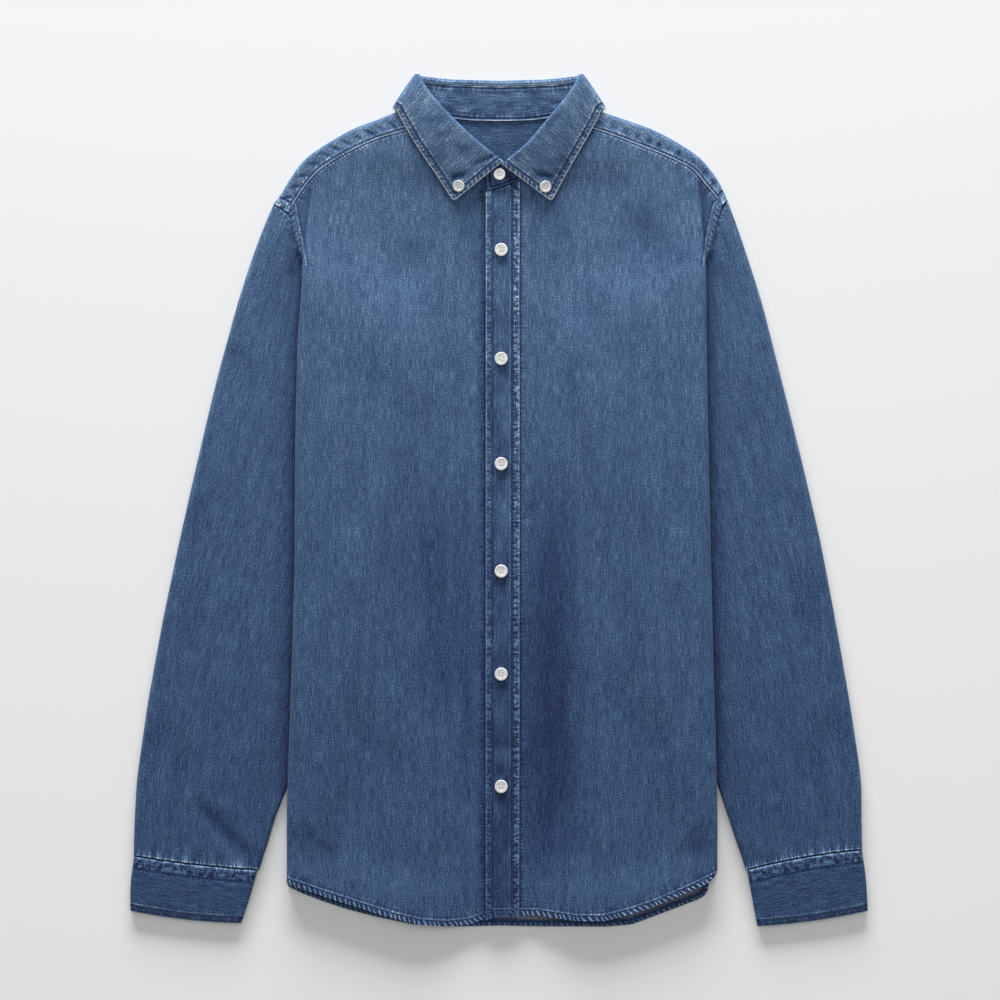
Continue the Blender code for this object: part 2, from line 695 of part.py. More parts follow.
def wrap_sections(front, back, side):
    """Sections that carry the collar round the side of the neck, from the upper to the lower layer."""
    outward = Vector((SIGN[side] * 0.806, 0.592, 0.0))
    sections = []
    for angle in (36.0, 72.0, 108.0, 144.0):
        swing = math.radians(angle)
        section = []
        for high, low in zip(front, back):
            middle = (high + low) / 2.0
            radius = (high.z - low.z) / 2.0
            spot = high.lerp(low, angle / 180.0)
            spot.z = middle.z + radius * math.cos(swing)
            section.append(spot + outward * abs(radius) * math.sin(swing))
        sections.append(section)
    return sections


def collar_run(section_of):
    """All sections of a collar piece, from the wearer's right point round the neck to the left."""
    halves = {}
    for side in (RIGHT, LEFT):
        rows = COLLAR_FRONT[side]
        fronts = [section_of(blend_rows(rows, (len(rows) - 1) * step / FRONT_STEPS), side, True)
                  for step in range(FRONT_STEPS + 1)]
        rows = COLLAR_BACK
        backs = [section_of(blend_rows(rows, (len(rows) - 1) * step / BACK_STEPS), side, False)
                 for step in range(BACK_STEPS + 1)]
        halves[side] = fronts + wrap_sections(fronts[-1], backs[0], side) + backs
    return halves[RIGHT][:-1] + halves[LEFT][::-1]


def make_collar():
    """Collar leaf: turned over the stand, its two points on the fronts."""
    sections = collar_run(leaf_section)
    points = [tuple(spot) for section in sections for spot in section]
    faces = grid_faces(len(sections), len(sections[0]))
    return add_cloth("collar", points, faces, DOUBLED, DENIM_LIGHT)


def make_stand():
    """Collar stand: a band on the neck edge, its ends lapped under the neck button."""
    sections = collar_run(stand_section)
    for side in (RIGHT, LEFT):
        sign = SIGN[side]
        ends = []
        for row in STAND_END[side]:
            top = Vector((sign * row.top_x, row.top_y, row.z))
            foot = Vector((sign * row.neck_x, row.neck_y, row.z))
            ends.append([top, top.lerp(foot, 0.5), foot])
        sections = ends[::-1] + sections if side == RIGHT else sections + ends
    points = [tuple(spot) for section in sections for spot in section]
    faces = grid_faces(len(sections), 3)
    return add_cloth("collar_stand", points, faces, DOUBLED, DENIM)


def leaf_plane(side):
    """Place and normal on the leaf's face near its point, where the collar button sits."""
    rows = COLLAR_FRONT[side]
    one = leaf_section(rows[0], side, True)
    other = leaf_section(blend_rows(rows, (len(rows) - 1) / FRONT_STEPS), side, True)
    spot = one[0].lerp(one[1], 0.85).lerp(other[0].lerp(other[1], 0.85), 0.6)
    normal = (one[1] - other[0]).cross(one[0] - other[1]).normalized()
    return spot, normal if normal.z > 0 else -normal


# ---------------------------------------------------------------- buttons

def make_button(name, spot, radius, normal=Vector((0.0, 0.0, 1.0))):
    """Turned button: flat foot, rounded rim and a shallow dish, set just clear of the cloth."""
    profile = ((0.0, 0.0), (0.80, 0.0), (0.97, 0.7), (1.0, 1.4), (0.93, 2.1), (0.80, 2.3), (0.62, 1.7),
               (0.0, 1.5))
    mesh = bmesh.new()
    rings = []
    for share, height in profile[1:-1]:
        ring = []
        for index in range(BUTTON_SEGMENTS):
            angle = 2.0 * math.pi * index / BUTTON_SEGMENTS
            ring.append(mesh.verts.new((radius * share * math.cos(angle) * MM,
                                        radius * share * math.sin(angle) * MM, height * MM)))
        rings.append(ring)
    for one, other in zip(rings, rings[1:]):
        bmesh.ops.bridge_loops(mesh, edges=loop_edges(mesh, one) + loop_edges(mesh, other))
    mesh.faces.new(rings[0][::-1])
    mesh.faces.new(rings[-1])
    bmesh.ops.recalc_face_normals(mesh, faces=mesh.faces)
    data = bpy.data.meshes.new(name)
    mesh.to_mesh(data)
    mesh.free()
    data.shade_smooth()
    data.set_sharp_from_angle(angle=math.radians(40))
    data.materials.append(make_material(name + "_finish", BUTTON_WHITE, 0.35))
    item = bpy.data.objects.new(name, data)
    item.rotation_euler = normal.to_track_quat("Z", "Y").to_euler()
    item.location = (Vector(spot) + normal * BUTTON_GAP) * MM
    bpy.context.scene.collection.objects.link(item)
    return item


def loop_edges(mesh, ring):
    """Edges of a ring of vertices, made where they are missing."""
    edges = []
    for one, other in zip(ring, ring[1:] + ring[:1]):
        edges.append(mesh.edges.get((one, other)) or mesh.edges.new((one, other)))
    return edges


def make_buttons():
    """Placket, neck and collar buttons."""
    for index, y in enumerate(BUTTON_YS):
        high = max(upper(PLACKET_MIDDLE, y + step) for step in (-6.0, 0.0, 6.0))
        make_button("button_%d" % (index + 1), (1.9, y, high + LAY_GAP + PLACKET_WALL), BUTTON_RADIUS)
    make_button("button_neck", (0.4, 299.0, 6.0 + DOUBLED), COLLAR_BUTTON_RADIUS)
    for side in (RIGHT, LEFT):
        spot, normal = leaf_plane(side)
        make_button("button_collar_" + side, spot, COLLAR_BUTTON_RADIUS, normal)


def main():
    """Build the shirt in an empty scene."""
    for item in list(bpy.data.objects):
        bpy.data.objects.remove(item, do_unlink=True)
    make_back()
    make_yoke()
    make_front(RIGHT, 14.0)
    make_front(LEFT, 15.0)
    make_placket()
    for side in (RIGHT, LEFT):
        make_sleeve(side)
        make_cuff(side)
    make_stand()
    make_collar()
    make_buttons()


if __name__ == "__main__":
    main()
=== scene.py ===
"""Looks of a long-sleeved denim shirt, laid flat on its back with the buttoned front up.

Sizes are in millimetres and become metres when a mesh is made. X runs to the wearer's left, Y to the neck
and Z up from the floor. Every panel is a thin shell on the form of its solid, with its creases, gathers and
stitches, and carries three sets of values for its finish: where its nearest seam is (seam), how strongly
blocks, ropes and gathers show there (dress), and how pale cloth, edge and stitches are (tone), from rubbing
and from painted light and shade.
"""

import json
import logging
import math
from dataclasses import dataclass
from enum import Enum
from typing import Any, Callable, Sequence

import bpy
import numpy as np
from mathutils import Matrix, Vector

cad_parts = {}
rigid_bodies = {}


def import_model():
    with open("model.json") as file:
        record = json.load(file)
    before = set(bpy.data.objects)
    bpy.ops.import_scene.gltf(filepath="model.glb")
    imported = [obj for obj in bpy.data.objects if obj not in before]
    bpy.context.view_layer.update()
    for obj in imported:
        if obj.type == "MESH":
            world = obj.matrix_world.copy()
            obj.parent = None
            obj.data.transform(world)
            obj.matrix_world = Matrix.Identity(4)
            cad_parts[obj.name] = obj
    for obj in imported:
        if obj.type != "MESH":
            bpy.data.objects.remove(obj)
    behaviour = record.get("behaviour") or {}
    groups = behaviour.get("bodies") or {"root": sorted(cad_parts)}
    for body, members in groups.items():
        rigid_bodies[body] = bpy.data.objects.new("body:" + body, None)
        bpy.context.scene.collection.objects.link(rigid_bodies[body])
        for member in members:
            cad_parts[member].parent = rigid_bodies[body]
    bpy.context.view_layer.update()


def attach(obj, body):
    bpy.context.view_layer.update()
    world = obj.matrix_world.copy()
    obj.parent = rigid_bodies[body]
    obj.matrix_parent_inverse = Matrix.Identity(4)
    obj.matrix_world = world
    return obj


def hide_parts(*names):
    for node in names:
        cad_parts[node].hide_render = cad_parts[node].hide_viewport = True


for startup_item in list(bpy.data.objects):
    bpy.data.objects.remove(startup_item)
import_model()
LOG = logging.getLogger("denim_shirt")
MM = 0.001
ROOT = "root"

Array = np.ndarray
Item = bpy.types.Object
Spot = tuple[float, float]


class Side(Enum):
    """The wearer's sides. The value is the sign of X there."""

    RIGHT = -1
    LEFT = 1

    @property
    def word(self) -> str:
        """Side's word, as node names have it."""
        return self.name.lower()

    def pick(self, right: Any, left: Any) -> Any:
        """One of two things, by side."""
        return right if self is Side.RIGHT else left


# ---------- curves and unevenness


def ease(value: Any) -> Any:
    """Smooth step from 0 at 0 and less to 1 at 1 and more."""
    held = np.clip(value, 0.0, 1.0)
    return held * held * (3.0 - 2.0 * held)


def mix(first: Any, last: Any, share: Any) -> Any:
    """What lies between two things at a share of the way."""
    return first + (last - first) * share


def bell(value: Any, width: Any, middle: Any = 0.0) -> Any:
    """1 at the middle, falling away over a width on both sides."""
    return np.exp(-((value - middle) / width) ** 2)


def catmull(points: Array, places: Array) -> Array:
    """Reads a smooth curve through points.

    Args:
        points: One row for each point, of any number of columns.
        places: Fractional places along the rows.

    Returns:
        One row for each place.
    """
    last = len(points) - 1
    places = np.clip(places, 0.0, last)
    start = np.minimum(places.astype(int), last - 1)
    part = (places - start)[:, None]
    before, first = points[np.maximum(start - 1, 0)], points[start]
    second, after = points[start + 1], points[np.minimum(start + 2, last)]
    into, out = (second - before) / 2.0, (after - first) / 2.0
    square, cube = part * part, part ** 3
    return (first * (2 * cube - 3 * square + 1) + into * (cube - 2 * square + part)
            + second * (3 * square - 2 * cube) + out * (cube - square))


def smooth_rows(rows: Any, count: int) -> Array:
    """Smooth curve through a table's rows, read at even steps from row to row."""
    table = np.array(rows, float)
    return catmull(table, np.linspace(0, len(table) - 1, count))


def even_curve(points: Any, count: int) -> Array:
    """Smooth curve through points, read at even steps along its length."""
    return resample(smooth_rows(points, 40 * len(points)), count)


def lengths_along(path: Array) -> Array:
    """Length from a path's start to each of its points."""
    steps = np.linalg.norm(np.diff(path, axis=0), axis=1)
    return np.concatenate([[0.0], np.cumsum(steps)])


def lengths_across(grid: Array) -> Array:
    """Length from the first column of a grid of points to each of its points."""
    return np.cumsum(np.linalg.norm(np.diff(grid, axis=1, prepend=grid[:, :1]), axis=2), axis=1)


def read_columns(places: Any, known: Array, path: Array) -> Array:
    """Each column of a path, read at places between the known ones."""
    return np.stack([np.interp(places, known, path[:, axis]) for axis in range(path.shape[1])], axis=1)


def resample(path: Array, count: int) -> Array:
    """Path of straight runs, read at even steps along its length."""
    lengths = lengths_along(path)
    return read_columns(np.linspace(0.0, lengths[-1], count), lengths, path)


def between(path: Array, start: float, end: float) -> Array:
    """Part of a path between two shares of its length.

    Args:
        path: Points in order.
        start: Share where the part begins.
        end: Share where it ends.

    Returns:
        Its points in plan.
    """
    lengths = lengths_along(path)
    start, end = start * lengths[-1], end * lengths[-1]
    inner = path[(lengths > start) & (lengths < end)]
    ends = read_columns((start, end), lengths, path[:, :2])
    return np.concatenate([ends[:1], inner[:, :2], ends[1:]])


def inward(path: Array) -> Array:
    """Direction in plan to the left of a path at each of its points, of length 1."""
    runs = np.gradient(path[:, :2], axis=0)
    return np.stack([-runs[:, 1], runs[:, 0]], axis=1) / np.linalg.norm(runs, axis=1)[:, None]


def offset(path: Array, distance: float) -> Array:
    """Path moved sideways in plan, to its left as it runs."""
    return path[:, :2] + inward(path) * distance


def mirrored(points: Any, side: Side) -> Array:
    """Curve given by its distances from the middle, set on its side.

    Args:
        points: Distance from the middle and height of each point.
        side: The wearer's side.

    Returns:
        The curve.
    """
    path = np.array(points, float)
    path[:, 0] *= side.value
    return path


def fine_grid(runs: Array, places: Array, across: Array) -> Array:
    """Smooth grid of points through a coarse one.

    Args:
        runs: Rows by columns by x, y and z.
        places: Fractional rows to read.
        across: Fractional columns to read.

    Returns:
        Rows by columns by x, y and z.
    """
    rows = catmull(runs.reshape(len(runs), -1), places).reshape(len(places), -1, 3)
    columns = catmull(rows.transpose(1, 0, 2).reshape(runs.shape[1], -1), across)
    return columns.reshape(len(across), len(places), 3).transpose(1, 0, 2)


def plan_distance(spots: Array, path: Array) -> tuple[Array, Array]:
    """Distance in plan from each spot to a path.

    Args:
        spots: Points, with x and y in the last axis.
        path: Points of the path, with x and y in each row.

    Returns:
        Distances to the path, and lengths along it of the nearest places.
    """
    flat = spots.reshape(-1, spots.shape[-1])[:, :2]
    starts, runs = path[:-1, :2], np.diff(path[:, :2], axis=0)
    spans = np.maximum(np.linalg.norm(runs, axis=1), 1e-9)
    lengths = np.concatenate([[0.0], np.cumsum(spans)])
    best = np.full(len(flat), 1e9)
    along = np.zeros(len(flat))
    for start, run, span, length in zip(starts, runs, spans, lengths):
        part = np.clip(((flat - start) @ run) / span ** 2, 0.0, 1.0)
        distance = np.linalg.norm(flat - start - part[:, None] * run, axis=1)
        nearer = distance < best
        best[nearer] = distance[nearer]
        along[nearer] = length + part[nearer] * span
    return best.reshape(spots.shape[:-1]), along.reshape(spots.shape[:-1])


def crossing(column: Callable[[Array], Array], edge: Callable[[Array], Array], low: float, high: float,
             count: int) -> Array:
    """Heights at which columns meet an edge, found by halving.

    Args:
        column: Gives x of every column at its height y.
        edge: Gives the edge's height at each x.
        low: Height below every crossing.
        high: Height above every crossing.
        count: Number of columns.

    Returns:
        One height for each column.
    """
    lows, highs = np.full(count, low), np.full(count, high)
    for _ in range(32):
        middle = (lows + highs) / 2.0
        above = edge(column(middle)) > middle
        lows, highs = np.where(above, middle, lows), np.where(above, highs, middle)
    return (lows + highs) / 2.0


class Unevenness:
    """Smooth unevenness of sewn and washed cloth, the same on every run."""

    SIZE = 64

    def __init__(self, seed: int) -> None:
        """Draws the pattern that belongs to a seed."""
        self.values = np.random.default_rng(seed).random((self.SIZE, self.SIZE)) * 2.0 - 1.0

    def at(self, x: Array, y: Any = 0.0) -> Array:
        """Value from -1 to 1 that changes over about one unit.

        Args:
            x: Places on the first axis.
            y: Places on the second axis.

        Returns:
            One value for each place.
        """
        x, y = np.broadcast_arrays(np.asarray(x, float), np.asarray(y, float))
        column, row = np.floor(x).astype(int), np.floor(y).astype(int)
        across, up = ease(x - column), ease(y - row)
        left, right = column % self.SIZE, (column + 1) % self.SIZE
        lower, upper = (self.values[line, left] * (1 - across) + self.values[line, right] * across
                        for line in (row % self.SIZE, (row + 1) % self.SIZE))
        return lower * (1 - up) + upper * up


@dataclass(frozen=True)
class Crease:
    """A soft trough in cloth, or a ridge where its depth is negative.

    Attributes:
        start: Where it begins, x and y.
        end: Where it dies out.
        width: Half its width.
        depth: How far it sinks at its middle.
        sway: How far its middle bows to one side.
    """

    start: Spot
    end: Spot
    width: float
    depth: float
    sway: float = 0.0

    def sink(self, x: Array, y: Array) -> Array:
        """Depth of the crease at each place.

        Args:
            x: Places in plan.
            y: Places in plan.

        Returns:
            Depths, negative on a ridge.
        """
        run = np.array(self.end) - np.array(self.start)
        length = float(np.hypot(*run))
        part = ((x - self.start[0]) * run[0] + (y - self.start[1]) * run[1]) / length ** 2
        across = ((x - self.start[0]) * run[1] - (y - self.start[1]) * run[0]) / length
        across = across - self.sway * np.sin(np.pi * np.clip(part, 0.0, 1.0))
        return self.depth * (ease(part * 3.0) * ease((1.0 - part) * 3.5)) * bell(across, self.width)


def sinking(creases: Sequence[Crease], x: Array, y: Array) -> Array:
    """Depth of all creases together at each place."""
    return sum((crease.sink(x, y) for crease in creases), np.zeros(np.broadcast(x, y).shape))


# ---------- outline of the shirt


@dataclass(frozen=True)
class SideTable:
    """Distances from the middle to an edge, on both sides.

    Attributes:
        rows: Height y, distance on the right and distance on the left, from the top down.
        reach: Length over which a reading is softened, so that an edge has no corners.
    """

    rows: tuple[tuple[float, float, float], ...]
    reach: float = 14.0

    def at(self, side: Side, y: Any) -> Array:
        """Distance at each height, softened over its neighbours.

        Args:
            side: The wearer's side.
            y: Heights.

        Returns:
            A distance for each.
        """
        table = np.array(self.rows[::-1])
        below, here, above = (np.interp(np.asarray(y, float) + step, table[:, 0], table[:, side.pick(1, 2)])
                              for step in (-self.reach, 0.0, self.reach))
        return below / 4 + here / 2 + above / 4


BODY_SIDE = SideTable((
    (310, 170, 184.5), (292, 173, 186), (250, 179.5, 189.5), (225, 181.5, 190.5), (203, 180.5, 190),
    (148, 185, 190.5), (64, 187, 192), (-73, 188, 195), (-156, 190.5, 197), (-240, 193.5, 199.5),
    (-290, 195, 200.5), (-400, 195, 200.5)))
ARMHOLE = SideTable(((300, 197, 210), (265, 193.5, 203), (240, 186.5, 195), (216, 181, 192), (200, 180, 191)))
SLEEVE_OUTER = SideTable((
    (276, 205, 209), (258, 214.5, 217), (221, 227.5, 229), (184, 239.5, 241), (111, 259.5, 259.5),
    (37, 277, 278), (-36, 293.5, 295), (-110, 309, 309), (-184, 322.5, 322), (-257, 333, 333),
    (-296, 335, 333), (-327, 336, 334)))
SLEEVE_INNER = SideTable((
    (157, 97.5, 99.5), (-50, 145, 149), (-266, 194.6, 202), (-290, 206, 210.5), (-319, 213, 219.5),
    (-339, 221.8, 227.8)))

SHOULDER = {
    Side.RIGHT: ((207, 272.6), (200.5, 281), (192.5, 294.5), (180.5, 311), (165.5, 323), (137, 339.8),
                 (112, 349.3), (97, 355.4), (86, 360.4), (78.5, 364.5)),
    Side.LEFT: ((209.5, 277), (201.5, 293), (193, 305), (183, 315.8), (166.5, 327), (143.5, 339.5),
                (120, 348), (97, 355.6), (86, 360.6), (78.5, 365)),
}
YOKE_SEAM = {
    Side.RIGHT: ((193.5, 264.6), (187.8, 274.4), (180.4, 285.5), (172.6, 295.6), (162, 305.7), (146, 315.8),
                 (128.3, 325), (110, 332.4), (87.5, 339), (65.5, 346)),
    Side.LEFT: ((205.4, 271.5), (191.3, 288.2), (183, 298.4), (176.5, 304.8), (166.4, 310.3), (150.3, 317.7),
                (128.7, 326), (109.4, 333.3), (89, 340.2), (66.5, 347)),
}
FRONT_HEM = np.array((
    (-205, -340), (-194, -352), (-150, -367), (-101, -382.5), (-73, -389.5), (-47, -391.3), (-28, -389.5),
    (-10, -384), (0, -381.5), (35, -381), (71, -386), (96, -386), (122, -379.5), (149, -370), (177, -358),
    (186, -354), (193, -350.3), (197.5, -346), (200, -341), (201.5, -334), (210, -320)), float)
BACK_HEM = np.array((
    (-201, -340), (-197.5, -350.5), (-193.4, -355.5), (-181, -361.5), (-161, -369), (-140, -376),
    (-114, -382.8), (-80, -390), (-40, -392), (0, -391), (39, -391.8), (99, -392), (122, -390), (149, -380),
    (183, -367), (189, -363.5), (192.3, -358.5), (193.2, -352), (196, -340)), float)
BACK_SEAM_Y = 265.0
SLEEVE_TOP_Y, SLEEVE_TURN_Y = 157.0, -266.0     # inner edge: below the armhole, and above the cuff
ARMHOLE_LOW_Y, ARMHOLE_HIGH_Y = 206.0, 232.0    # the body's edge turns out to the armhole between these
ARMHOLE_INSET, ARMHOLE_WIDENS = 6.6, -2.6       # from the armhole seam to its row of stitches, down the seam
ARMHOLE_LENGTH = 62.0


def opening(y: Array) -> Array:
    """0 where the body's edge is turned under, 1 where it meets the armhole seam."""
    return ease((y - ARMHOLE_LOW_Y) / (ARMHOLE_HIGH_Y - ARMHOLE_LOW_Y))


def armhole_path(side: Side) -> Array:
    """Armhole seam in plan, as far down as it shows."""
    y = np.linspace(268.0, ARMHOLE_LOW_Y, 24)
    return np.stack([side.value * ARMHOLE.at(side, y), y], axis=1)


def front_hem(x: Array) -> Array:
    """Height of the fronts' hem at each x."""
    return np.interp(x, FRONT_HEM[:, 0], FRONT_HEM[:, 1])


# ---------- layers on the floor


MAIN_FOLDS = (
    Crease((48, 70), (55, -372), 21, 1.5), Crease((28, -40), (36, -376), 24, 0.8),
    Crease((-62, 40), (-52, -230), 20, 0.9), Crease((112, 275), (168, 205), 15, 0.9),
    Crease((-30, 60), (-27, -330), 9, 0.7))


@dataclass(frozen=True)
class LayUp:
    """Heights of the layers as the shirt lies on the floor.

    Attributes:
        cloth: Wall of one layer in the solids that these shells follow.
        doubled: Wall of the collar, stand and cuffs.
        gap: Clearance of cloth lying on cloth.
        seam: Clearance of two edges along a seam.
        air: Greatest space between the body's two layers.
        dip: How much less of it there is beside the placket.
        hem_air: The same space at the hem, under the placket.
        corner_air: How much more of it there is towards the hem's corners.
        hem_fade: Length over which the front comes down to the hem.
        tucked: Pressed sleeve under the body.
        full: Pressed sleeve where nothing lies on it.
        sleeve_rise: Lift of the body over a tucked sleeve.
        fall_rise: Lift of the yoke over the turned-down collar behind it.
        placket_middle: The placket's middle line, x.
    """

    cloth: float = 1.2
    doubled: float = 2.0
    gap: float = 0.5
    seam: float = 0.6
    air: float = 3.6
    dip: float = 1.3
    hem_air: float = 2.4
    corner_air: float = 4.8
    hem_fade: float = 60.0
    tucked: float = 3.6
    full: float = 6.2
    sleeve_rise: float = 4.4
    fall_rise: float = 2.5
    placket_middle: float = 3.4

    def over_sleeve(self, x: Array, y: Array) -> Array:
        """1 where a tucked sleeve lies under the body, falling to 0 around it.

        Args:
            x: Places in plan.
            y: Places in plan.

        Returns:
            One share for each place.
        """
        (_, *tops), _, (_, *turns) = SLEEVE_INNER.rows[:3]
        out = np.abs(x)
        reach, turn = (np.where(x > 0, pair[1], pair[0]) for pair in (tops, turns))
        slope = (turn - reach) / (SLEEVE_TURN_Y - SLEEVE_TOP_Y)
        beyond = reach + slope * (y - SLEEVE_TOP_Y) - out
        above_cap = y - (SLEEVE_TOP_Y + (out - reach) * 0.5556)
        around = 1.0 - ease((np.maximum(beyond, SLEEVE_TURN_Y - y) - 22.0) / 45.0)
        return around * (1.0 - ease((above_cap + 15.0) / 95.0))

    def lower(self, x: Array, y: Array) -> Array:
        """Height of the lower layer's outer face."""
        over_fall = ease((y - 283.0) / 42.0) * ease((142.0 - np.abs(x)) / 34.0)
        return self.sleeve_rise * self.over_sleeve(x, y) + self.fall_rise * over_fall

    def upper(self, x: Array, y: Array) -> Array:
        """Height of the upper layer's outer face.

        Args:
            x: Places across.
            y: Places along.

        Returns:
            A height for each.
        """
        from_middle = np.abs(x - self.placket_middle)
        dip = self.dip * (1.0 - ease((from_middle - 22.0) / 60.0)) * ease((330.0 - y) / 40.0)
        folds = sinking(MAIN_FOLDS, x, y) * ease((from_middle - 17.0) / 10.0)
        stand_off = self.hem_air + self.corner_air * ease((np.abs(x) - 15.0) / 70.0)
        from_hem = ease((y - front_hem(x)) / self.hem_fade)
        air = stand_off + (self.air - stand_off - dip - folds) * from_hem
        return self.lower(x, y) + 2 * self.cloth + air

    def sleeve_top(self, side: Side, x: Array, y: Array) -> Array:
        """Height of a sleeve's upper face: pressed under the body, fuller beside it."""
        start = 7.0 - 6.0 * ease((y - 205.0) / 15.0)
        return mix(self.tucked, self.full, ease((np.abs(x) - BODY_SIDE.at(side, y) - start) / 16.0))


LAY = LayUp()


# ---------- finishes


def linear(colour: str) -> tuple[float, float, float, float]:
    """Turns an sRGB hex colour to the linear values that shaders take, with an alpha of 1.

    Args:
        colour: The colour, with its # in front.

    Returns:
        Red, green, blue and alpha.
    """
    parts = [int(colour[start:start + 2], 16) / 255.0 for start in (1, 3, 5)]
    red, green, blue = (part / 12.92 if part <= 0.04045 else ((part + 0.055) / 1.055) ** 2.4
                        for part in parts)
    return red, green, blue, 1.0


def set_inputs(tree: Any, node: Any, inputs: dict[Any, Any]) -> None:
    """Gives a node's inputs their values, and links those that are sockets.

    Args:
        tree: Node tree of the node.
        node: The node.
        inputs: Value, or socket to link from, for each input by name or number.
    """
    for name, value in inputs.items():
        if isinstance(value, bpy.types.NodeSocket):
            tree.links.new(value, node.inputs[name])
        else:
            node.inputs[name].default_value = value


def add_node(tree: Any, kind: str, settings: dict[str, Any] | None = None,
             inputs: dict[Any, Any] | None = None) -> Any:
    """Adds a shader node with its settings, values and links.

    Args:
        tree: Node tree that takes it.
        kind: Its type name, without the ShaderNode at its front.
        settings: Properties of the node.
        inputs: Value, or socket to link from, for each input by name or number.

    Returns:
        The node.
    """
    node = tree.nodes.new("ShaderNode" + kind)
    for name, value in (settings or {}).items():
        setattr(node, name, value)
    set_inputs(tree, node, inputs or {})
    return node


class Bench:
    """Short ways to add the nodes of one material. Each gives the socket that its result leaves by."""

    def __init__(self, tree: Any) -> None:
        """Works on a node tree."""
        self.tree = tree

    def place(self, kind: str) -> Any:
        """Coordinates: the piece's UV map in metres, or its Object coordinates.

        Args:
            kind: UV or Object.

        Returns:
            Socket of the coordinates.
        """
        if kind == "UV":
            return add_node(self.tree, "UVMap", {"uv_map": "UVMap"}).outputs["UV"]
        return add_node(self.tree, "TexCoord").outputs[kind]

    def values(self, name: str) -> Any:
        """Three numbers of an attribute.

        Args:
            name: The attribute's name.

        Returns:
            Sockets of the three.
        """
        settings = {"attribute_name": name, "attribute_type": "GEOMETRY"}
        vector = add_node(self.tree, "Attribute", settings).outputs["Vector"]
        return add_node(self.tree, "SeparateXYZ", {}, {0: vector}).outputs

    def calc(self, operation: str, first: Any, second: Any = 0.0, third: Any = 0.0) -> Any:
        """Result of one arithmetic step."""
        inputs = {0: first, 1: second, 2: third}
        return add_node(self.tree, "Math", {"operation": operation}, inputs).outputs[0]

    def times(self, first: Any, *others: Any) -> Any:
        """Product of two or more values.

        Args:
            first: Value or socket.
            others: Values or sockets.

        Returns:
            Socket of the product.
        """
        for other in others:
            first = self.calc("MULTIPLY", first, other)
        return first

    def summed(self, base: Any, parts: Sequence[tuple[Any, Any]]) -> Any:
        """Base value and a share of each part.

        Args:
            base: Value or socket.
            parts: Each part and its share.

        Returns:
            Socket of the sum.
        """
        for part, share in parts:
            base = self.calc("MULTIPLY_ADD", part, share, base)
        return base

    def band(self, value: Any, start: float, end: float, first: float = 1.0, last: float = 0.0) -> Any:
        """Value mapped smoothly from one range to another and held at its ends."""
        return add_node(self.tree, "MapRange", {"interpolation_type": "SMOOTHSTEP"},
                        {0: value, 1: start, 2: end, 3: first, 4: last}).outputs[0]

    def noise(self, place: Any, scale: float = 1.0, **others: float) -> Any:
        """Noise at a place; the others are its further inputs."""
        return add_node(self.tree, "TexNoise", {}, {"Vector": place, "Scale": scale, **others}).outputs[0]

    def slant(self, place: Any, pitch: float, **others: float) -> Any:
        """Slanting stripes at a pitch in millimetres."""
        inputs = {"Vector": place, "Scale": 2.0 * math.pi / (10.0 * pitch * MM), **others}
        return add_node(self.tree, "TexWave", {"bands_direction": "DIAGONAL"}, inputs).outputs["Fac"]

    def ramp(self, value: Any, stops: Sequence[tuple[float, str]]) -> Any:
        """Colour of a value, from places and hex colours in order.

        Args:
            value: Socket of the value.
            stops: Place and colour of each stop.

        Returns:
            Socket of the colour.
        """
        node = add_node(self.tree, "ValToRGB", {}, {0: value})
        elements = node.color_ramp.elements
        elements[0].position, elements[1].position = stops[0][0], stops[-1][0]
        for place, _ in stops[1:-1]:
            elements.new(place)
        for element, (_, colour) in zip(elements, stops):
            element.color = linear(colour)
        return node.outputs[0]


@dataclass(frozen=True)
class Finish:
    """A material; each kind draws its own colour and relief.

    Attributes:
        name: Material's name.
        roughness: Roughness of its surface.
        relief: Strength of its bump, and depth in millimetres.
        others: Further values of its shader, by the name of the socket.
    """

    name: str
    roughness: float
    relief: Spot = (0.0, 0.0)
    others: tuple[tuple[str, Any], ...] = ()

    def draw(self, bench: Bench) -> tuple[Any, Any]:
        """Adds the nodes of the colour and of the relief, and gives both; None is no relief."""
        raise NotImplementedError

    def make(self) -> bpy.types.Material:
        """Builds the material.

        Returns:
            The material, with uniform values on the shader's own sockets.
        """
        material = bpy.data.materials.new(self.name)
        material.use_nodes = True
        tree = material.node_tree
        colour, height = self.draw(Bench(tree))
        inputs = {"Base Color": colour, "Roughness": self.roughness, **dict(self.others)}
        if height is not None:
            strength, depth = self.relief
            bump = {"Strength": strength, "Distance": depth * MM, "Height": height}
            inputs["Normal"] = add_node(tree, "Bump", {}, bump).outputs[0]
        set_inputs(tree, tree.nodes["Principled BSDF"], inputs)
        return material


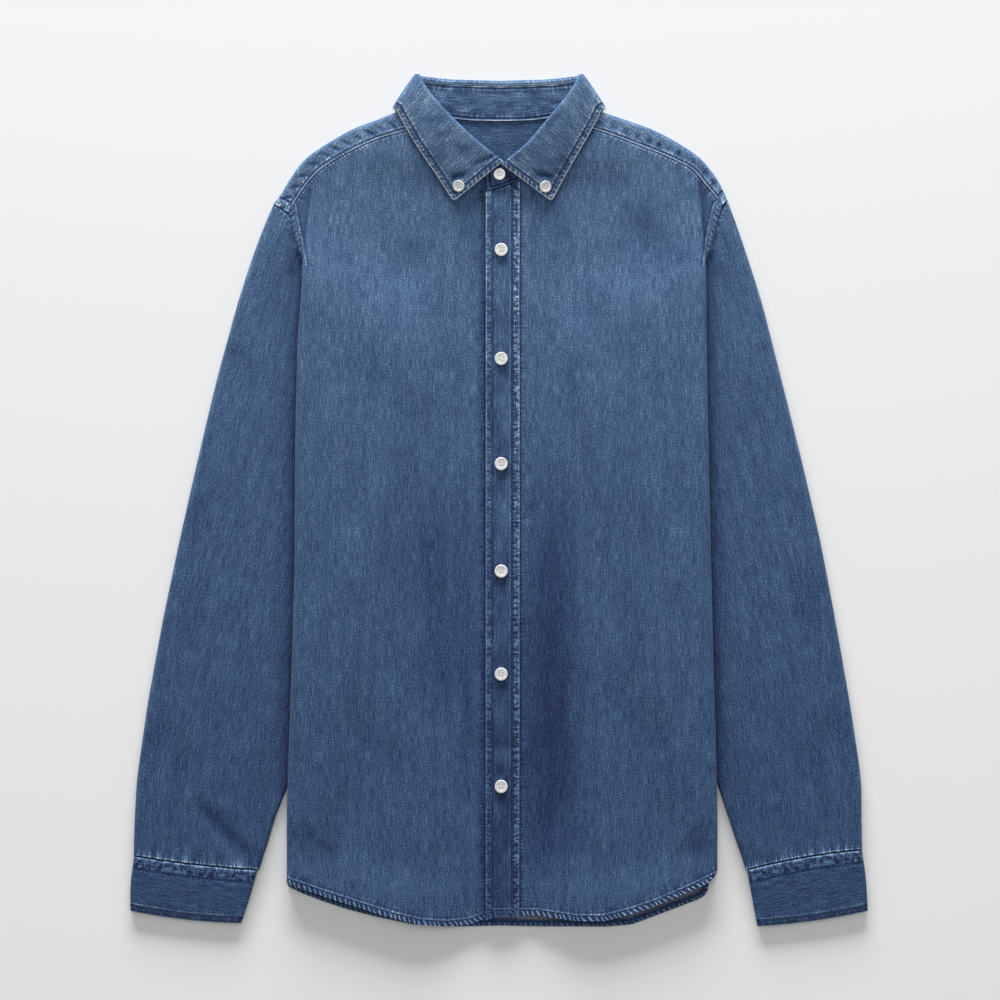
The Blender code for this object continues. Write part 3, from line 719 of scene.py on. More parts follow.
@dataclass(frozen=True)
class WashedDenim(Finish):
    """Stone-washed cotton denim: indigo warp over undyed weft, rubbed pale wherever it stands up.

    The eye reads it as a matt, slightly furry cloth with fine upright slubs, pale rubbed edges, dark stitched
    grooves and a patchy, roped seam allowance. It reads the piece's UV map and its seam, dress and tone.

    Attributes:
        shades: Places on the wear scale and the colours there, from unworn indigo to bare weft.
        grains: Width and length in millimetres, detail, share of the wear and share of the relief of
            the specks of a thread or two, the slubs, the washed streaks and the washed patches.
        drift: Width and length of the patches in which the hue drifts.
        drift_share: How far it drifts.
        twill_pitch: The twill's own pitch is 0.8 mm; the diagonal is drawn wider, to show at all.
        block_size: Length and depth of a rubbed block between edge and stitches.
        pleat_size: Length and depth of a gather past the stitches.
        rope_pitch: Length of one ridge of a roped hem.
    """

    name: str = "washed_denim"
    roughness: float = 0.86
    relief: Spot = (0.68, 0.45)
    others: tuple[tuple[str, Any], ...] = (
        ("Specular IOR Level", 0.25), ("Sheen Weight", 0.12), ("Sheen Roughness", 0.5),
        ("Sheen Tint", linear("#C2CCDA")))
    shades: tuple[tuple[float, str], ...] = (
        (0.00, "#0C1A3C"), (0.20, "#1C2F56"), (0.42, "#334C6F"), (0.60, "#496589"), (0.78, "#6783A1"),
        (0.90, "#94A8BF"), (1.00, "#C6D0DB"))
    grains: tuple[tuple[float, ...], ...] = (
        (1.15, 1.4, 2.0, 1.0, 0.9), (1.15, 12.0, 2.0, 0.66, 1.0), (7.0, 70.0, 3.0, 0.24, 0.8),
        (24.0, 34.0, 3.0, 0.15, 0.0))
    drift: Spot = (12.0, 30.0)
    drift_share: float = 0.024
    twill_pitch: float = 1.4
    block_size: Spot = (3.4, 5.5)
    pleat_size: Spot = (2.6, 22.0)
    rope_pitch: float = 4.8

    def draw(self, bench: Bench) -> tuple[Any, Any]:
        """Draws the washed cloth.

        Args:
            bench: Adds the nodes.

        Returns:
            Its colour and its height.
        """
        calc, times, band = bench.calc, bench.times, bench.band
        cloth = bench.place("UV")
        rim, along, inset = bench.values("seam")
        block, rope, gather = bench.values("dress")
        # The tone's first value is the cloth's paleness, painted light and shade included; its second makes
        # the edge paler from rubbing where positive and paints shade along it where negative.
        wash_and_shade, worn, sewn = bench.values("tone")

        def grain(width: float, length: float, detail: float) -> Any:
            """Unevenness of the cloth, about 0, at a size in millimetres."""
            scale = (1.0 / (width * MM), 1.0 / (length * MM), 1.0)
            place = add_node(bench.tree, "Mapping", {}, {"Vector": cloth, "Scale": scale}).outputs[0]
            return calc("SUBTRACT", bench.noise(place, Detail=detail), 0.5)

        def along_seam(size: Spot, detail: float, high: float) -> Any:
            """Unevenness from -1 to 1 that follows the seam, by its length along and its depth across."""
            parts = {0: calc("DIVIDE", along, size[0]), 1: calc("DIVIDE", rim, size[1])}
            place = add_node(bench.tree, "CombineXYZ", {}, parts).outputs[0]
            return band(bench.noise(place, Detail=detail), 0.36, high, -1.0, 1.0)

        grains = [grain(*sizes[:3]) for sizes in self.grains]
        twill = bench.slant(cloth, self.twill_pitch, Distortion=1.5, Detail=1.0)

        # Distances from the row of stitches, positive on the panel's side.
        past = calc("SUBTRACT", rim, inset)
        groove = times(band(calc("ABSOLUTE", past), 0.3, 1.45), sewn)
        ridge = times(band(calc("ABSOLUTE", calc("SUBTRACT", past, 1.9)), 0.0, 1.3), sewn)
        edge = band(rim, 0.3, 1.7)
        # A rubbed edge is evenly pale.
        calm = calc("MULTIPLY_ADD", edge, -0.6, 1.0)
        inside = band(past, -0.9, -0.1)
        near = times(calc("SUBTRACT", 1.0, inside), band(past, 0.5, 10.0))

        # Blocks between edge and stitches, the slanting ridges of a roped hem, and gathers past the stitches.
        blocks = times(along_seam(self.block_size, 1.5, 0.64), block, inside, calm)
        pleats = times(along_seam(self.pleat_size, 1.0, 0.66), gather, near)
        lean = times(rim, 0.8, calc("SIGN", rope))
        slant = calc("MULTIPLY_ADD", along, 2.0 * math.pi / self.rope_pitch, lean)
        wander = add_node(bench.tree, "TexNoise", {"noise_dimensions": "1D"},
                          {"W": calc("DIVIDE", along, 22.0), "Scale": 1.0}).outputs[0]
        ropes = band(calc("SINE", calc("MULTIPLY_ADD", wander, 9.0, slant)), 0.0, 0.95, -0.45, 1.0)
        roped = band(calc("DIVIDE", rim, inset), 0.5, 0.85)
        ropes = calc("MULTIPLY_ADD", ropes, roped, calc("MULTIPLY_ADD", roped, 0.5, -0.5))
        ropes = times(ropes, calc("ABSOLUTE", rope), inside)

        wear = bench.summed(wash_and_shade, [(times(part, calm), sizes[3]) for part, sizes in zip(grains, self.grains)])
        wear = bench.summed(wear, ((blocks, 0.17), (ropes, 0.3), (pleats, 0.14), (groove, -0.30),
                                   # Positive edge values add rubbing, negative ones painted shade.
                                   (ridge, 0.17), (twill, 0.05), (edge, worn)))
        # Indigo wears towards green in some patches and towards violet in others.
        drift = calc("ADD", grain(*self.drift, 3.0), 0.5)
        hue = calc("MULTIPLY_ADD", drift, self.drift_share, 0.5 - 0.5 * self.drift_share)
        colour = {"Hue": hue, "Color": bench.ramp(wear, self.shades)}
        reliefs = [(part, sizes[4]) for part, sizes in zip(grains, self.grains) if sizes[4]]
        height = bench.summed(times(twill, 0.25), (*reliefs, (blocks, 0.8), (ropes, 1.0), (pleats, 0.7),
                                                   (groove, -1.3), (ridge, 0.25)))
        return add_node(bench.tree, "HueSaturation", {}, colour).outputs[0], height


@dataclass(frozen=True)
class DenimReverse(Finish):
    """Wrong side of denim: mostly undyed weft, so it is a greyish, paler cloth with blue flecks.

    Attributes:
        stops: Places on the noise and the colours there, from fleck to weft.
        fleck_size: Size of a fleck.
    """

    name: str = "denim_reverse"
    roughness: float = 0.9
    relief: Spot = (0.5, 0.3)
    others: tuple[tuple[str, Any], ...] = (("Specular IOR Level", 0.25),)
    stops: tuple[tuple[float, str], ...] = ((0.36, "#525C76"), (0.62, "#8C8B98"))
    fleck_size: float = 1.2

    def draw(self, bench: Bench) -> tuple[Any, Any]:
        """Draws the flecks, by the piece's UV map."""
        noise = bench.noise(bench.place("UV"), 1.0 / (self.fleck_size * MM), Detail=3.0)
        return bench.ramp(noise, self.stops), noise


@dataclass(frozen=True)
class SewingThread(Finish):
    """Spun polyester sewing thread, softly shiny, with its two plies just showing as a slant.

    Attributes:
        stops: Places between the plies and on them, and the colours there.
        ply_pitch: Length of one ply's turn.
    """

    roughness: float = 0.6
    stops: tuple[tuple[float, str], ...] = ((0.1, "#22304C"), (0.7, "#4A6288"))
    ply_pitch: float = 0.7

    def draw(self, bench: Bench) -> tuple[Any, Any]:
        """Draws the plies, by Object coordinates."""
        return bench.ramp(bench.slant(bench.place("Object"), self.ply_pitch), self.stops), None


@dataclass(frozen=True)
class PolishedResin(Finish):
    """Cast polyester button blank, turned and tumbled: off-white, faintly pearly, with a soft gloss.

    Attributes:
        stops: Places on the swirl and the colours there.
        swirl: Size of the swirl.
    """

    name: str = "button_resin"
    roughness: float = 0.3
    others: tuple[tuple[str, Any], ...] = (("Coat Weight", 0.2), ("Coat Roughness", 0.15), ("IOR", 1.52))
    stops: tuple[tuple[float, str], ...] = ((0.35, "#C6C6C4"), (0.6, "#DEDEDC"))
    swirl: float = 5.0

    def draw(self, bench: Bench) -> tuple[Any, Any]:
        """Draws the pearly swirl, by Object coordinates."""
        noise = bench.noise(bench.place("Object"), 1.0 / (self.swirl * MM), Detail=3.0, Distortion=1.2)
        return bench.ramp(noise, self.stops), None


@dataclass(frozen=True)
class MattPaper(Finish):
    """Matt seamless paper under the shirt, pale and even.

    Attributes:
        colour: Its colour.
        fibre: Size of its fibres.
    """

    name: str = "studio_paper"
    roughness: float = 0.95
    relief: Spot = (0.05, 0.05)
    others: tuple[tuple[str, Any], ...] = (("Specular IOR Level", 0.1),)
    colour: str = "#EDEDED"
    fibre: float = 1.5

    def draw(self, bench: Bench) -> tuple[Any, Any]:
        """Draws the fibres, by Object coordinates."""
        return linear(self.colour), bench.noise(bench.place("Object"), 1.0 / (self.fibre * MM))


@dataclass(frozen=True)
class Finishes:
    """All finishes of the shirt, made once."""

    denim: bpy.types.Material
    reverse: bpy.types.Material
    thread: bpy.types.Material
    pale_thread: bpy.types.Material
    resin: bpy.types.Material
    paper: bpy.types.Material

    @classmethod
    def mixed(cls) -> "Finishes":
        """Makes every material.

        Returns:
            The materials, in the order of the fields.
        """
        white = SewingThread("white_thread", 0.5, stops=((0.1, "#A9AFB6"), (0.7, "#D6D8DA")))
        kinds = (WashedDenim(), DenimReverse(), SewingThread("tonal_thread"), white, PolishedResin(),
                 MattPaper())
        return cls(*(kind.make() for kind in kinds))


# ---------- sheets of cloth


@dataclass(frozen=True)
class Seam:
    """A stitched edge or seam, and how its cloth gathers and wears.

    Attributes:
        path: Finished edge or seam line in plan, one row for each point.
        inset: Distance from it to the row of stitches, at its start.
        block: Strength of the rubbed and unrubbed blocks between edge and stitches.
        rope: Strength of a hem's slanting ridges.
        gather: Strength of the gathers past the stitches.
        worn: How pale the edge itself is from rubbing; a negative value paints shade along it instead.
        lift: How far the gathers stand up.
        pitch: Length of one gather.
        reach: Furthest distance at which the seam still counts.
        sewn: Strength of the stitched groove and of the ridge beside it.
        widens: How much larger the inset is at its end.
    """

    path: Array
    inset: float = 5.5
    block: float = 1.0
    rope: float = 0.0
    gather: float = 0.5
    worn: float = 0.25
    lift: float = 0.25
    pitch: float = 9.0
    reach: float = 22.0
    sewn: float = 1.0
    widens: float = 0.0


WELD = 0.01                     # points nearer than this are one
STEEP_PAINTED_SHADE = 0.42                # how much painted shade darkens cloth that stands upright towards the key light
FAR = 900.0                     # distance of a seam that isn't there
PALENESS_HEIGHTS = (-400.0, -250.0, 0.0, 150.0, 260.0, 380.0)       # from the hem up
PALENESS_WITH_PAINTED_LIGHT = (0.36, 0.38, 0.435, 0.49, 0.53, 0.575)            # how pale the cloth is at each height: painted light, palest towards the key light beyond the neck


class ClothSheet:
    """A sheet of cloth: rows and columns of points on its outer face, with what its finish reads."""

    def __init__(self, name: str, points: Array, cloth: tuple[Array, Array], seed: int, wall: float = 0.9,
                 flip: bool = False, closed: bool = False, lined: bool = False) -> None:
        """Args:
            name: Piece's name.
            points: Rows by columns by x, y and z.
            cloth: Distances across and along the grain, rows by columns.
            seed: Picks the pattern of the gathers.
            wall: Thickness.
            flip: Turns the faces round.
            closed: The last column meets the first.
            lined: The inner face is right-side cloth too.
        """
        self.name, self.points, self.cloth = name, points, np.stack(cloth, axis=-1)
        self.wall, self.flip, self.closed, self.lined = wall, flip, closed, lined
        self.seam, self.dress, self.tone = (np.zeros(points.shape) for _ in range(3))
        self.seam[..., 0] = FAR
        self.past = np.full(points.shape[:2], FAR)
        self.uneven = Unevenness(seed)
        # Painted light: the cloth is painted paler towards the neck, where the key light stands, and darker
        # towards the hem.
        self.shade(np.interp(points[..., 1], PALENESS_HEIGHTS, PALENESS_WITH_PAINTED_LIGHT))

    def shade(self, wear: Array) -> None:
        """Makes the cloth paler by an amount at each point, or darker where it is negative."""
        self.tone[..., 0] += wear

    def lower(self, depth: Array) -> None:
        """Sinks the cloth by a depth at each point."""
        self.points[..., 2] -= depth

    def press(self, creases: Sequence[Crease], crease_shade: float, where: Any = 1.0) -> None:
        """Presses creases into the sheet, with painted shade in the troughs and painted light on the ridges.

        Args:
            creases: The creases.
            crease_shade: Change of tone for each millimetre of depth.
            where: Share of the creases at each point.
        """
        depth = sinking(creases, self.points[..., 0], self.points[..., 1]) * where
        self.lower(depth)
        # Painted shade in the troughs, painted light on the ridges.
        self.shade(-crease_shade * depth)

    def mark(self, seam: Seam, where: Array | None = None, place: tuple[Array, Array] | None = None) -> None:
        """Gathers the sheet along a seam and notes the seam for the finish.

        Args:
            seam: The seam.
            where: True at the points that it may mark, or None for all.
            place: Distance to the seam and length along it, where they aren't measured in plan.
        """
        rim, along = place or plan_distance(self.points, seam.path)
        inset = seam.inset + seam.widens * along / lengths_along(seam.path[:, :2])[-1]
        past = rim - inset
        allowed = rim < seam.reach if where is None else where & (rim < seam.reach)
        taken = allowed & (past < self.past)
        self.past[taken] = past[taken]
        self.seam[taken] = np.stack([rim, along, inset], axis=-1)[taken]
        self.dress[taken] = (seam.block, seam.rope, seam.gather)
        self.tone[taken, 1:] = (seam.worn, seam.sewn)
        fade = ease((seam.reach - rim) / seam.reach) * np.where(past < 0, 0.5, 1.0)
        ripple = self.uneven.at(along / seam.pitch, rim / 26.0) * fade * allowed
        self.lower(-seam.lift * ripple)
        self.shade(0.10 * seam.gather * ripple)

    def paint_shade_facing_key_light(self) -> None:
        """Paints shade on cloth that rolls down towards the neck end, where it stands up towards the key
        light.
        """
        facing = np.cross(*np.gradient(self.points, axis=(0, 1)))
        facing /= np.maximum(np.linalg.norm(facing, axis=-1, keepdims=True), 1e-9)
        self.shade(-STEEP_PAINTED_SHADE * np.maximum(facing[..., 1] * np.sign(facing[..., 2]), 0.0) ** 2)

    def to_object(self, finishes: Finishes) -> Item:
        """Makes the sheet an object, still without its wall.

        Args:
            finishes: The shirt's materials.

        Returns:
            The object, at the origin.
        """
        self.paint_shade_facing_key_light()
        rows, columns = self.points.shape[:2]
        bpy.ops.object.select_all(action="DESELECT")
        bpy.ops.mesh.primitive_grid_add(x_subdivisions=columns - 1, y_subdivisions=rows - 1, size=1.0)
        piece = bpy.context.object
        mesh = piece.data
        piece.name = mesh.name = self.name
        mesh.vertices.foreach_set("co", (self.points * MM).astype(np.float32).ravel())
        corners = np.zeros(len(mesh.loops), np.int32)
        mesh.loops.foreach_get("vertex_index", corners)
        layer = mesh.uv_layers.active or mesh.uv_layers.new(name="UVMap")
        layer.name = "UVMap"
        layer.data.foreach_set("uv", (self.cloth.reshape(-1, 2)[corners] * MM).astype(np.float32).ravel())
        for name in ("seam", "dress", "tone"):
            values = getattr(self, name).astype(np.float32).ravel()
            mesh.attributes.new(name, "FLOAT_VECTOR", "POINT").data.foreach_set("vector", values)
        mesh.update()
        edit(piece)
        if self.closed:
            bpy.ops.mesh.remove_doubles(threshold=WELD * MM)
        if self.flip:
            bpy.ops.mesh.flip_normals()
        bpy.ops.object.mode_set(mode="OBJECT")
        for face in (finishes.denim, finishes.denim if self.lined else finishes.reverse):
            mesh.materials.append(face)
        return piece


def choose(*pieces: Item) -> None:
    """Selects pieces and nothing else, the first of them active.

    Args:
        pieces: The pieces.
    """
    bpy.ops.object.select_all(action="DESELECT")
    for piece in pieces:
        piece.select_set(True)
    bpy.context.view_layer.objects.active = pieces[0]


def edit(piece: Item) -> None:
    """Opens a piece in edit mode with all of it selected.

    Args:
        piece: The piece.
    """
    choose(piece)
    bpy.ops.object.mode_set(mode="EDIT")
    bpy.ops.mesh.select_all(action="SELECT")


def thicken(piece: Item, wall: float) -> Item:
    """Gives a sheet its wall, inwards from its outer face, keeps it off the floor and smooths it.

    Args:
        piece: The sheet's object.
        wall: Thickness.

    Returns:
        The object.
    """
    choose(piece)
    modifier = piece.modifiers.new("wall", "SOLIDIFY")
    modifier.thickness, modifier.offset, modifier.material_offset = wall * MM, -1.0, 1
    modifier.use_quality_normals = True
    bpy.ops.object.modifier_apply(modifier=modifier.name)
    for vertex in piece.data.vertices:
        vertex.co.z = max(vertex.co.z, 0.0)
    bpy.ops.object.shade_smooth_by_angle(angle=math.radians(60))
    return piece


def joined(pieces: Sequence[Item]) -> Item:
    """Joins sheets that meet along shared points into the first of them.

    Args:
        pieces: The sheets' objects.

    Returns:
        The first of them.
    """
    choose(*pieces)
    bpy.ops.object.join()
    edit(pieces[0])
    bpy.ops.mesh.remove_doubles(threshold=WELD * MM)
    bpy.ops.object.mode_set(mode="OBJECT")
    return pieces[0]


def tie(piece: Item, node: str | None = None) -> None:
    """Ties a piece to the frame: its body and the solid that it stands for.

    Args:
        piece: The piece.
        node: Solid that it stands for, if any.
    """
    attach(piece, ROOT)
    if node:
        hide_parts(node)


def settle(piece: Item, node: str, cut: tuple[Spot, float],
           with_pieces: Sequence[Item] = ()) -> None:
    """Ties a finished sheet to the frame.

    Args:
        piece: The sheet.
        node: The solid that it stands for.
        cut: Width and length of the flat cut, and the share of that rectangle that it fills.
        with_pieces: Separate pieces on it; not used.
    """
    tie(piece, node)
    (width, length), share = cut
    width, length = width * MM, length * MM
    LOG.info("%s: %d faces", piece.name, len(piece.data.polygons))


# ---------- sewing


@dataclass(frozen=True)
class Stitch:
    """Sizes of one lockstitch.

    Attributes:
        length: One stitch, as it shows.
        space: Gap to the next.
        thick: Thread's thickness.
    """

    length: float = 2.6
    space: float = 0.5
    thick: float = 0.45


ABOVE = 100.0                   # height from which places on a piece are looked for
DOWN = Vector((0.0, 0.0, -1.0))
END_DIP = 1.2                   # how far a stitch's ends dip into the cloth, as pulled thread does


class Stitcher:
    """Lays rows of stitches on finished pieces; each stitch is a copy of one modelled stitch."""

    def __init__(self, finishes: Finishes) -> None:
        """Models the stitch, in a thread of the finishes.

        Args:
            finishes: The shirt's materials.
        """
        self.thread = finishes.thread
        bpy.ops.object.select_all(action="DESELECT")
        bpy.ops.mesh.primitive_uv_sphere_add(segments=6, ring_count=5, radius=0.5)
        stitch = bpy.context.object
        points = np.zeros(len(stitch.data.vertices) * 3)
        stitch.data.vertices.foreach_get("co", points)
        self.points = points.reshape(-1, 3)[:, [2, 0, 1]]
        self.points[:, 2] -= END_DIP * self.points[:, 0] ** 2
        self.faces = [tuple(face.vertices) for face in stitch.data.polygons]
        bpy.data.objects.remove(stitch)

    def sew(self, name: str, cloth: Item, paths: Sequence[Array], stitch: Stitch = Stitch()) -> Item:
        """Sews rows on the upper face of a piece.

        Args:
            name: Name of the joined stitches.
            cloth: Piece that they lie on.
            paths: Where the rows run, in plan.
            stitch: Sizes of the stitches.

        Returns:
            One object with all the stitches, riding with the cloth.
        """
        points, faces = [], []
        size = np.array([stitch.length, stitch.thick, stitch.thick]) * MM
        for path in paths:
            count = max(int(lengths_along(path)[-1] / (stitch.length + stitch.space)), 1)
            spots = resample(path, 2 * count + 1)
            for start, middle, end in zip(spots[0:-2:2], spots[1::2], spots[2::2]):
                hit, place, up, _ = cloth.ray_cast((middle[0] * MM, middle[1] * MM, ABOVE * MM), DOWN)
                if not hit:
                    continue
                run = Vector((*(end - start), 0.0)).normalized()
                run = (run - up * run.dot(up)).normalized()
                turn = Matrix((run, up.cross(run), up)).transposed()
                first = len(points) * len(self.points)
                points.append((self.points * size) @ np.array(turn).T + np.array(place))
                faces += [tuple(first + corner for corner in face) for face in self.faces]
        mesh = bpy.data.meshes.new(name)
        mesh.from_pydata(np.concatenate(points).tolist(), [], faces)
        mesh.shade_smooth()
        mesh.materials.append(self.thread)
        piece = bpy.data.objects.new(name, mesh)
        bpy.context.scene.collection.objects.link(piece)
        tie(piece)
        return piece


# ---------- body


HEM_SEARCH = (-420.0, -300.0)       # heights below and above every point of a hem
TOP_SEARCH = (190.0, 360.0)         # the same for the fronts' top edges


@dataclass
class FrontPanel:
    """One front, from under the placket to the side fold, and round the fold to the side seam.

    Attributes:
        side: The wearer's side.
        inner_x: Where it begins under the placket.
        lap: Neck seam between the middle and the collar's end.
        creases: Its creases, beside the main folds.
        flat_columns: Columns on the upper layer.
        turned_columns: Columns round the side fold.
        rows: Rows from the hem to the top.
        turned: Cloth turned under at the side.
        armhole_height: Height of its edge at the armhole.
        round_share: Share of the turned columns that round the fold; the rest lie under the body.
    """

    side: Side
    inner_x: float
    lap: tuple[Spot, ...]
    creases: tuple[Crease, ...]
    flat_columns: int = 82
    turned_columns: int = 14
    rows: int = 250
    turned: float = 14.0
    armhole_height: float = 6.4
    round_share: float = 0.8

    CRISP_FOLD = ((184.0, 190.3), (230.0, 188.5), (262.0, 185.7), (297.0, 182.0))   # its y and x, on the left

    def __post_init__(self) -> None:
        """Shares the columns out: from the placket to the fold, then from the fold to the edge."""
        turns = np.linspace(0.0, 1.0, self.turned_columns + 1)[1:]
        self.shares = np.concatenate([np.linspace(0.0, 1.0, self.flat_columns), np.ones(self.turned_columns)])
        self.turns = np.concatenate([np.zeros(self.flat_columns), turns])

    def fold(self, y: Array) -> tuple[Array, Array, Array, Array]:
        """Side fold at each height: furthest distance out, top, radius, and each column's angle round it.

        Args:
            y: Heights, with the columns on their last axis.

        Returns:
            The four, for each height and column.
        """
        edge = BODY_SIDE.at(self.side, y)
        top = LAY.upper(self.side.value * edge, y)
        radius = (top - LAY.lower(self.side.value * edge, y)) / 2.0
        return edge, top, radius, np.minimum(self.turns / self.round_share, 1.0) * math.pi

    def column_x(self, y: Array) -> Array:
        """Place across of every column, at heights with the columns on their last axis.

        Args:
            y: Heights, with the columns on their last axis.

        Returns:
            A place for each height and column.
        """
        sign = self.side.value
        edge, _, radius, swing = self.fold(y)
        crest = edge - radius
        tail = 3.0 + (self.turned - 3.0) * ease((200.0 - y) / 25.0) * (1.0 - 0.9 * ease((-315.0 - y) / 20.0))
        past = np.maximum(self.turns - self.round_share, 0.0) / (1.0 - self.round_share)
        under = crest + radius * np.sin(swing) - tail * past
        out = np.interp(self.turns, (0, 0.2, 0.4, 0.6, 0.8, 1), (0, 0.15, 0.32, 0.55, 0.78, 1))
        stepped = mix(crest, ARMHOLE.at(self.side, y) + LAY.seam, out)
        turned = sign * mix(under, stepped, opening(y))
        return np.where(self.turns > 0.0, turned, mix(self.inner_x, sign * crest, self.shares))

    def column_z(self, x: Array, y: Array) -> Array:
        """Height of the outer face at places with the columns on their last axis.

        Args:
            x: Places across.
            y: Places along.

        Returns:
            A height for each place.
        """
        _, top, radius, swing = self.fold(y)
        under = top - radius * (1.0 - np.cos(swing))
        down = np.interp(self.turns, (0, 0.2, 0.4, 0.6, 1), (0, 0.25, 0.7, 1, 1))
        step = mix(top, np.minimum(self.armhole_height, top), down)
        share = opening(y)
        hang = np.interp(self.turns, (0, 0.6, 0.8, 1), (0, 0, 0.3, 1.1)) * 4.0 * share * (1.0 - share)
        return np.where(self.turns > 0.0, mix(under, step, share) - hang, LAY.upper(x, y))

    def top_edge(self, x: Array) -> Array:
        """Height of the neck and yoke seams at each x.

        Args:
            x: Places across.

        Returns:
            A height for each.
        """
        out = self.side.value * x
        neck = np.array(list(self.lap) + [tuple(spot) for spot in CollarLeaf.neck_front(self.side)])
        seam = np.array(YOKE_SEAM[self.side][::-1], float)
        at_neck = np.interp(out, neck[:, 0], neck[:, 1]) - LAY.seam / 2.0
        at_seam = np.interp(out, seam[:, 0], seam[:, 1]) - 0.6 * LAY.seam
        return np.where(out < seam[0, 0], at_neck, at_seam)

    def build(self) -> ClothSheet:
        """Makes the front.

        Returns:
            Its sheet.
        """
        count = len(self.shares)
        hem = crossing(self.column_x, front_hem, *HEM_SEARCH, count)
        top = crossing(self.column_x, self.top_edge, *TOP_SEARCH, count)
        y = mix(hem, top, np.linspace(0.0, 1.0, self.rows)[:, None])
        x = self.column_x(y)
        points = np.stack([x, y, self.column_z(x, y)], axis=-1)
        across = np.where(self.turns > 0.0, 180.0 + self.turns * 22.0, np.abs(x - self.inner_x))
        sheet = ClothSheet("front_%s_cloth" % self.side.word, points, (across, y), seed=3 + self.side.value,
                           flip=self.side is Side.RIGHT)
        sheet.press(self.creases, 0.07)
        self.dress(sheet, np.broadcast_to(self.turns < 0.4, x.shape))
        return sheet

    def dress(self, sheet: ClothSheet, upper: Array) -> None:
        """Marks the front's seams and its worn fold.

        Args:
            sheet: The sheet.
            upper: True on the upper layer.
        """
        side, (x, y) = self.side, np.moveaxis(sheet.points[..., :2], -1, 0)
        yoke_line = mirrored(even_curve(YOKE_SEAM[side], 60), side)
        hem_line = resample(np.concatenate([((-215.0, -341.0),), FRONT_HEM[1:-6], ((212.0, -341.0),)]), 120)
        edge_x = side.pick(*Placket.EDGES)
        beside = side.value * (x - edge_x)
        # Negative edge values paint shade on the front: the placket's shadow beside its edge, the yoke's
        # shadow along its seam, and shade along the armhole seam.
        sheet.mark(Seam(np.array(((edge_x, -385.0), (edge_x, 285.0))), 0.2, block=0.0, gather=0.45, worn=-0.5,
                        lift=0.12, pitch=8.0, reach=14.0, sewn=0.0), (beside > 0) & upper)
        sheet.mark(Seam(yoke_line, 0.5, block=0.0, gather=0.8, worn=-0.2, lift=0.3, pitch=6.0, reach=16.0,
                        sewn=0.7))
        sheet.mark(Seam(armhole_path(side), ARMHOLE_INSET, block=0.45, rope=0.5, gather=0.3, worn=-0.1,
                        lift=0.15, pitch=6.0, reach=12.0, sewn=-0.8, widens=ARMHOLE_WIDENS), y > 213.0)
        sheet.mark(Seam(hem_line, 5.6, block=0.2, rope=1.3, gather=0.8, worn=0.05, lift=0.22, pitch=5.0,
                        reach=18.0, sewn=-0.85))
        # Painted shadow of the placket on the lower front beside it, most of all near the neck.
        width = side.pick(4.2 + 1.5 * ease((y + 100.0) / 350.0), 1.8)
        sheet.shade(-side.pick(0.28, 0.1) * bell(beside, width) * (beside > -2.0) * upper)
        # Painted shade in the main folds.
        sheet.shade(-0.13 * sinking(MAIN_FOLDS, x, y))
        if side is Side.LEFT:
            # A crisp fold runs down from the yoke, with painted shade on the facet between it and the
            # armhole.
            past = x - np.interp(y, *zip(*self.CRISP_FOLD))
            facet = ease((past + 0.9) / 1.8) * np.exp(-np.maximum(past, 0.0) / 9.0) * ease((y - 186.0) / 20.0)
            sheet.shade(-0.15 * facet * upper)
        # Painted shadow of the collar's edges on the front.
        rows = np.array(CollarLeaf.FRONT_ROWS[side], float)
        leaf = mirrored(np.concatenate([rows[:1, 2:4], rows[:, :2]]), side)
        sheet.shade(-0.15 * bell(plan_distance(sheet.points, leaf)[0], 2.4) * upper)
        # The side fold is rubbed pale, and the cloth that drops to the armhole gets painted shade.
        fold = bell(self.turns, 0.25, 0.25) * (1.0 - opening(y))
        rim, along = plan_distance(sheet.points, armhole_path(side))
        past_stitches = rim - ARMHOLE_INSET - ARMHOLE_WIDENS * along / ARMHOLE_LENGTH > 0
        facet = ease(self.turns * 9.0) * (1.0 - 0.5 * self.turns) * opening(y)
        sheet.shade(0.05 * fold - 0.17 * facet * past_stitches)


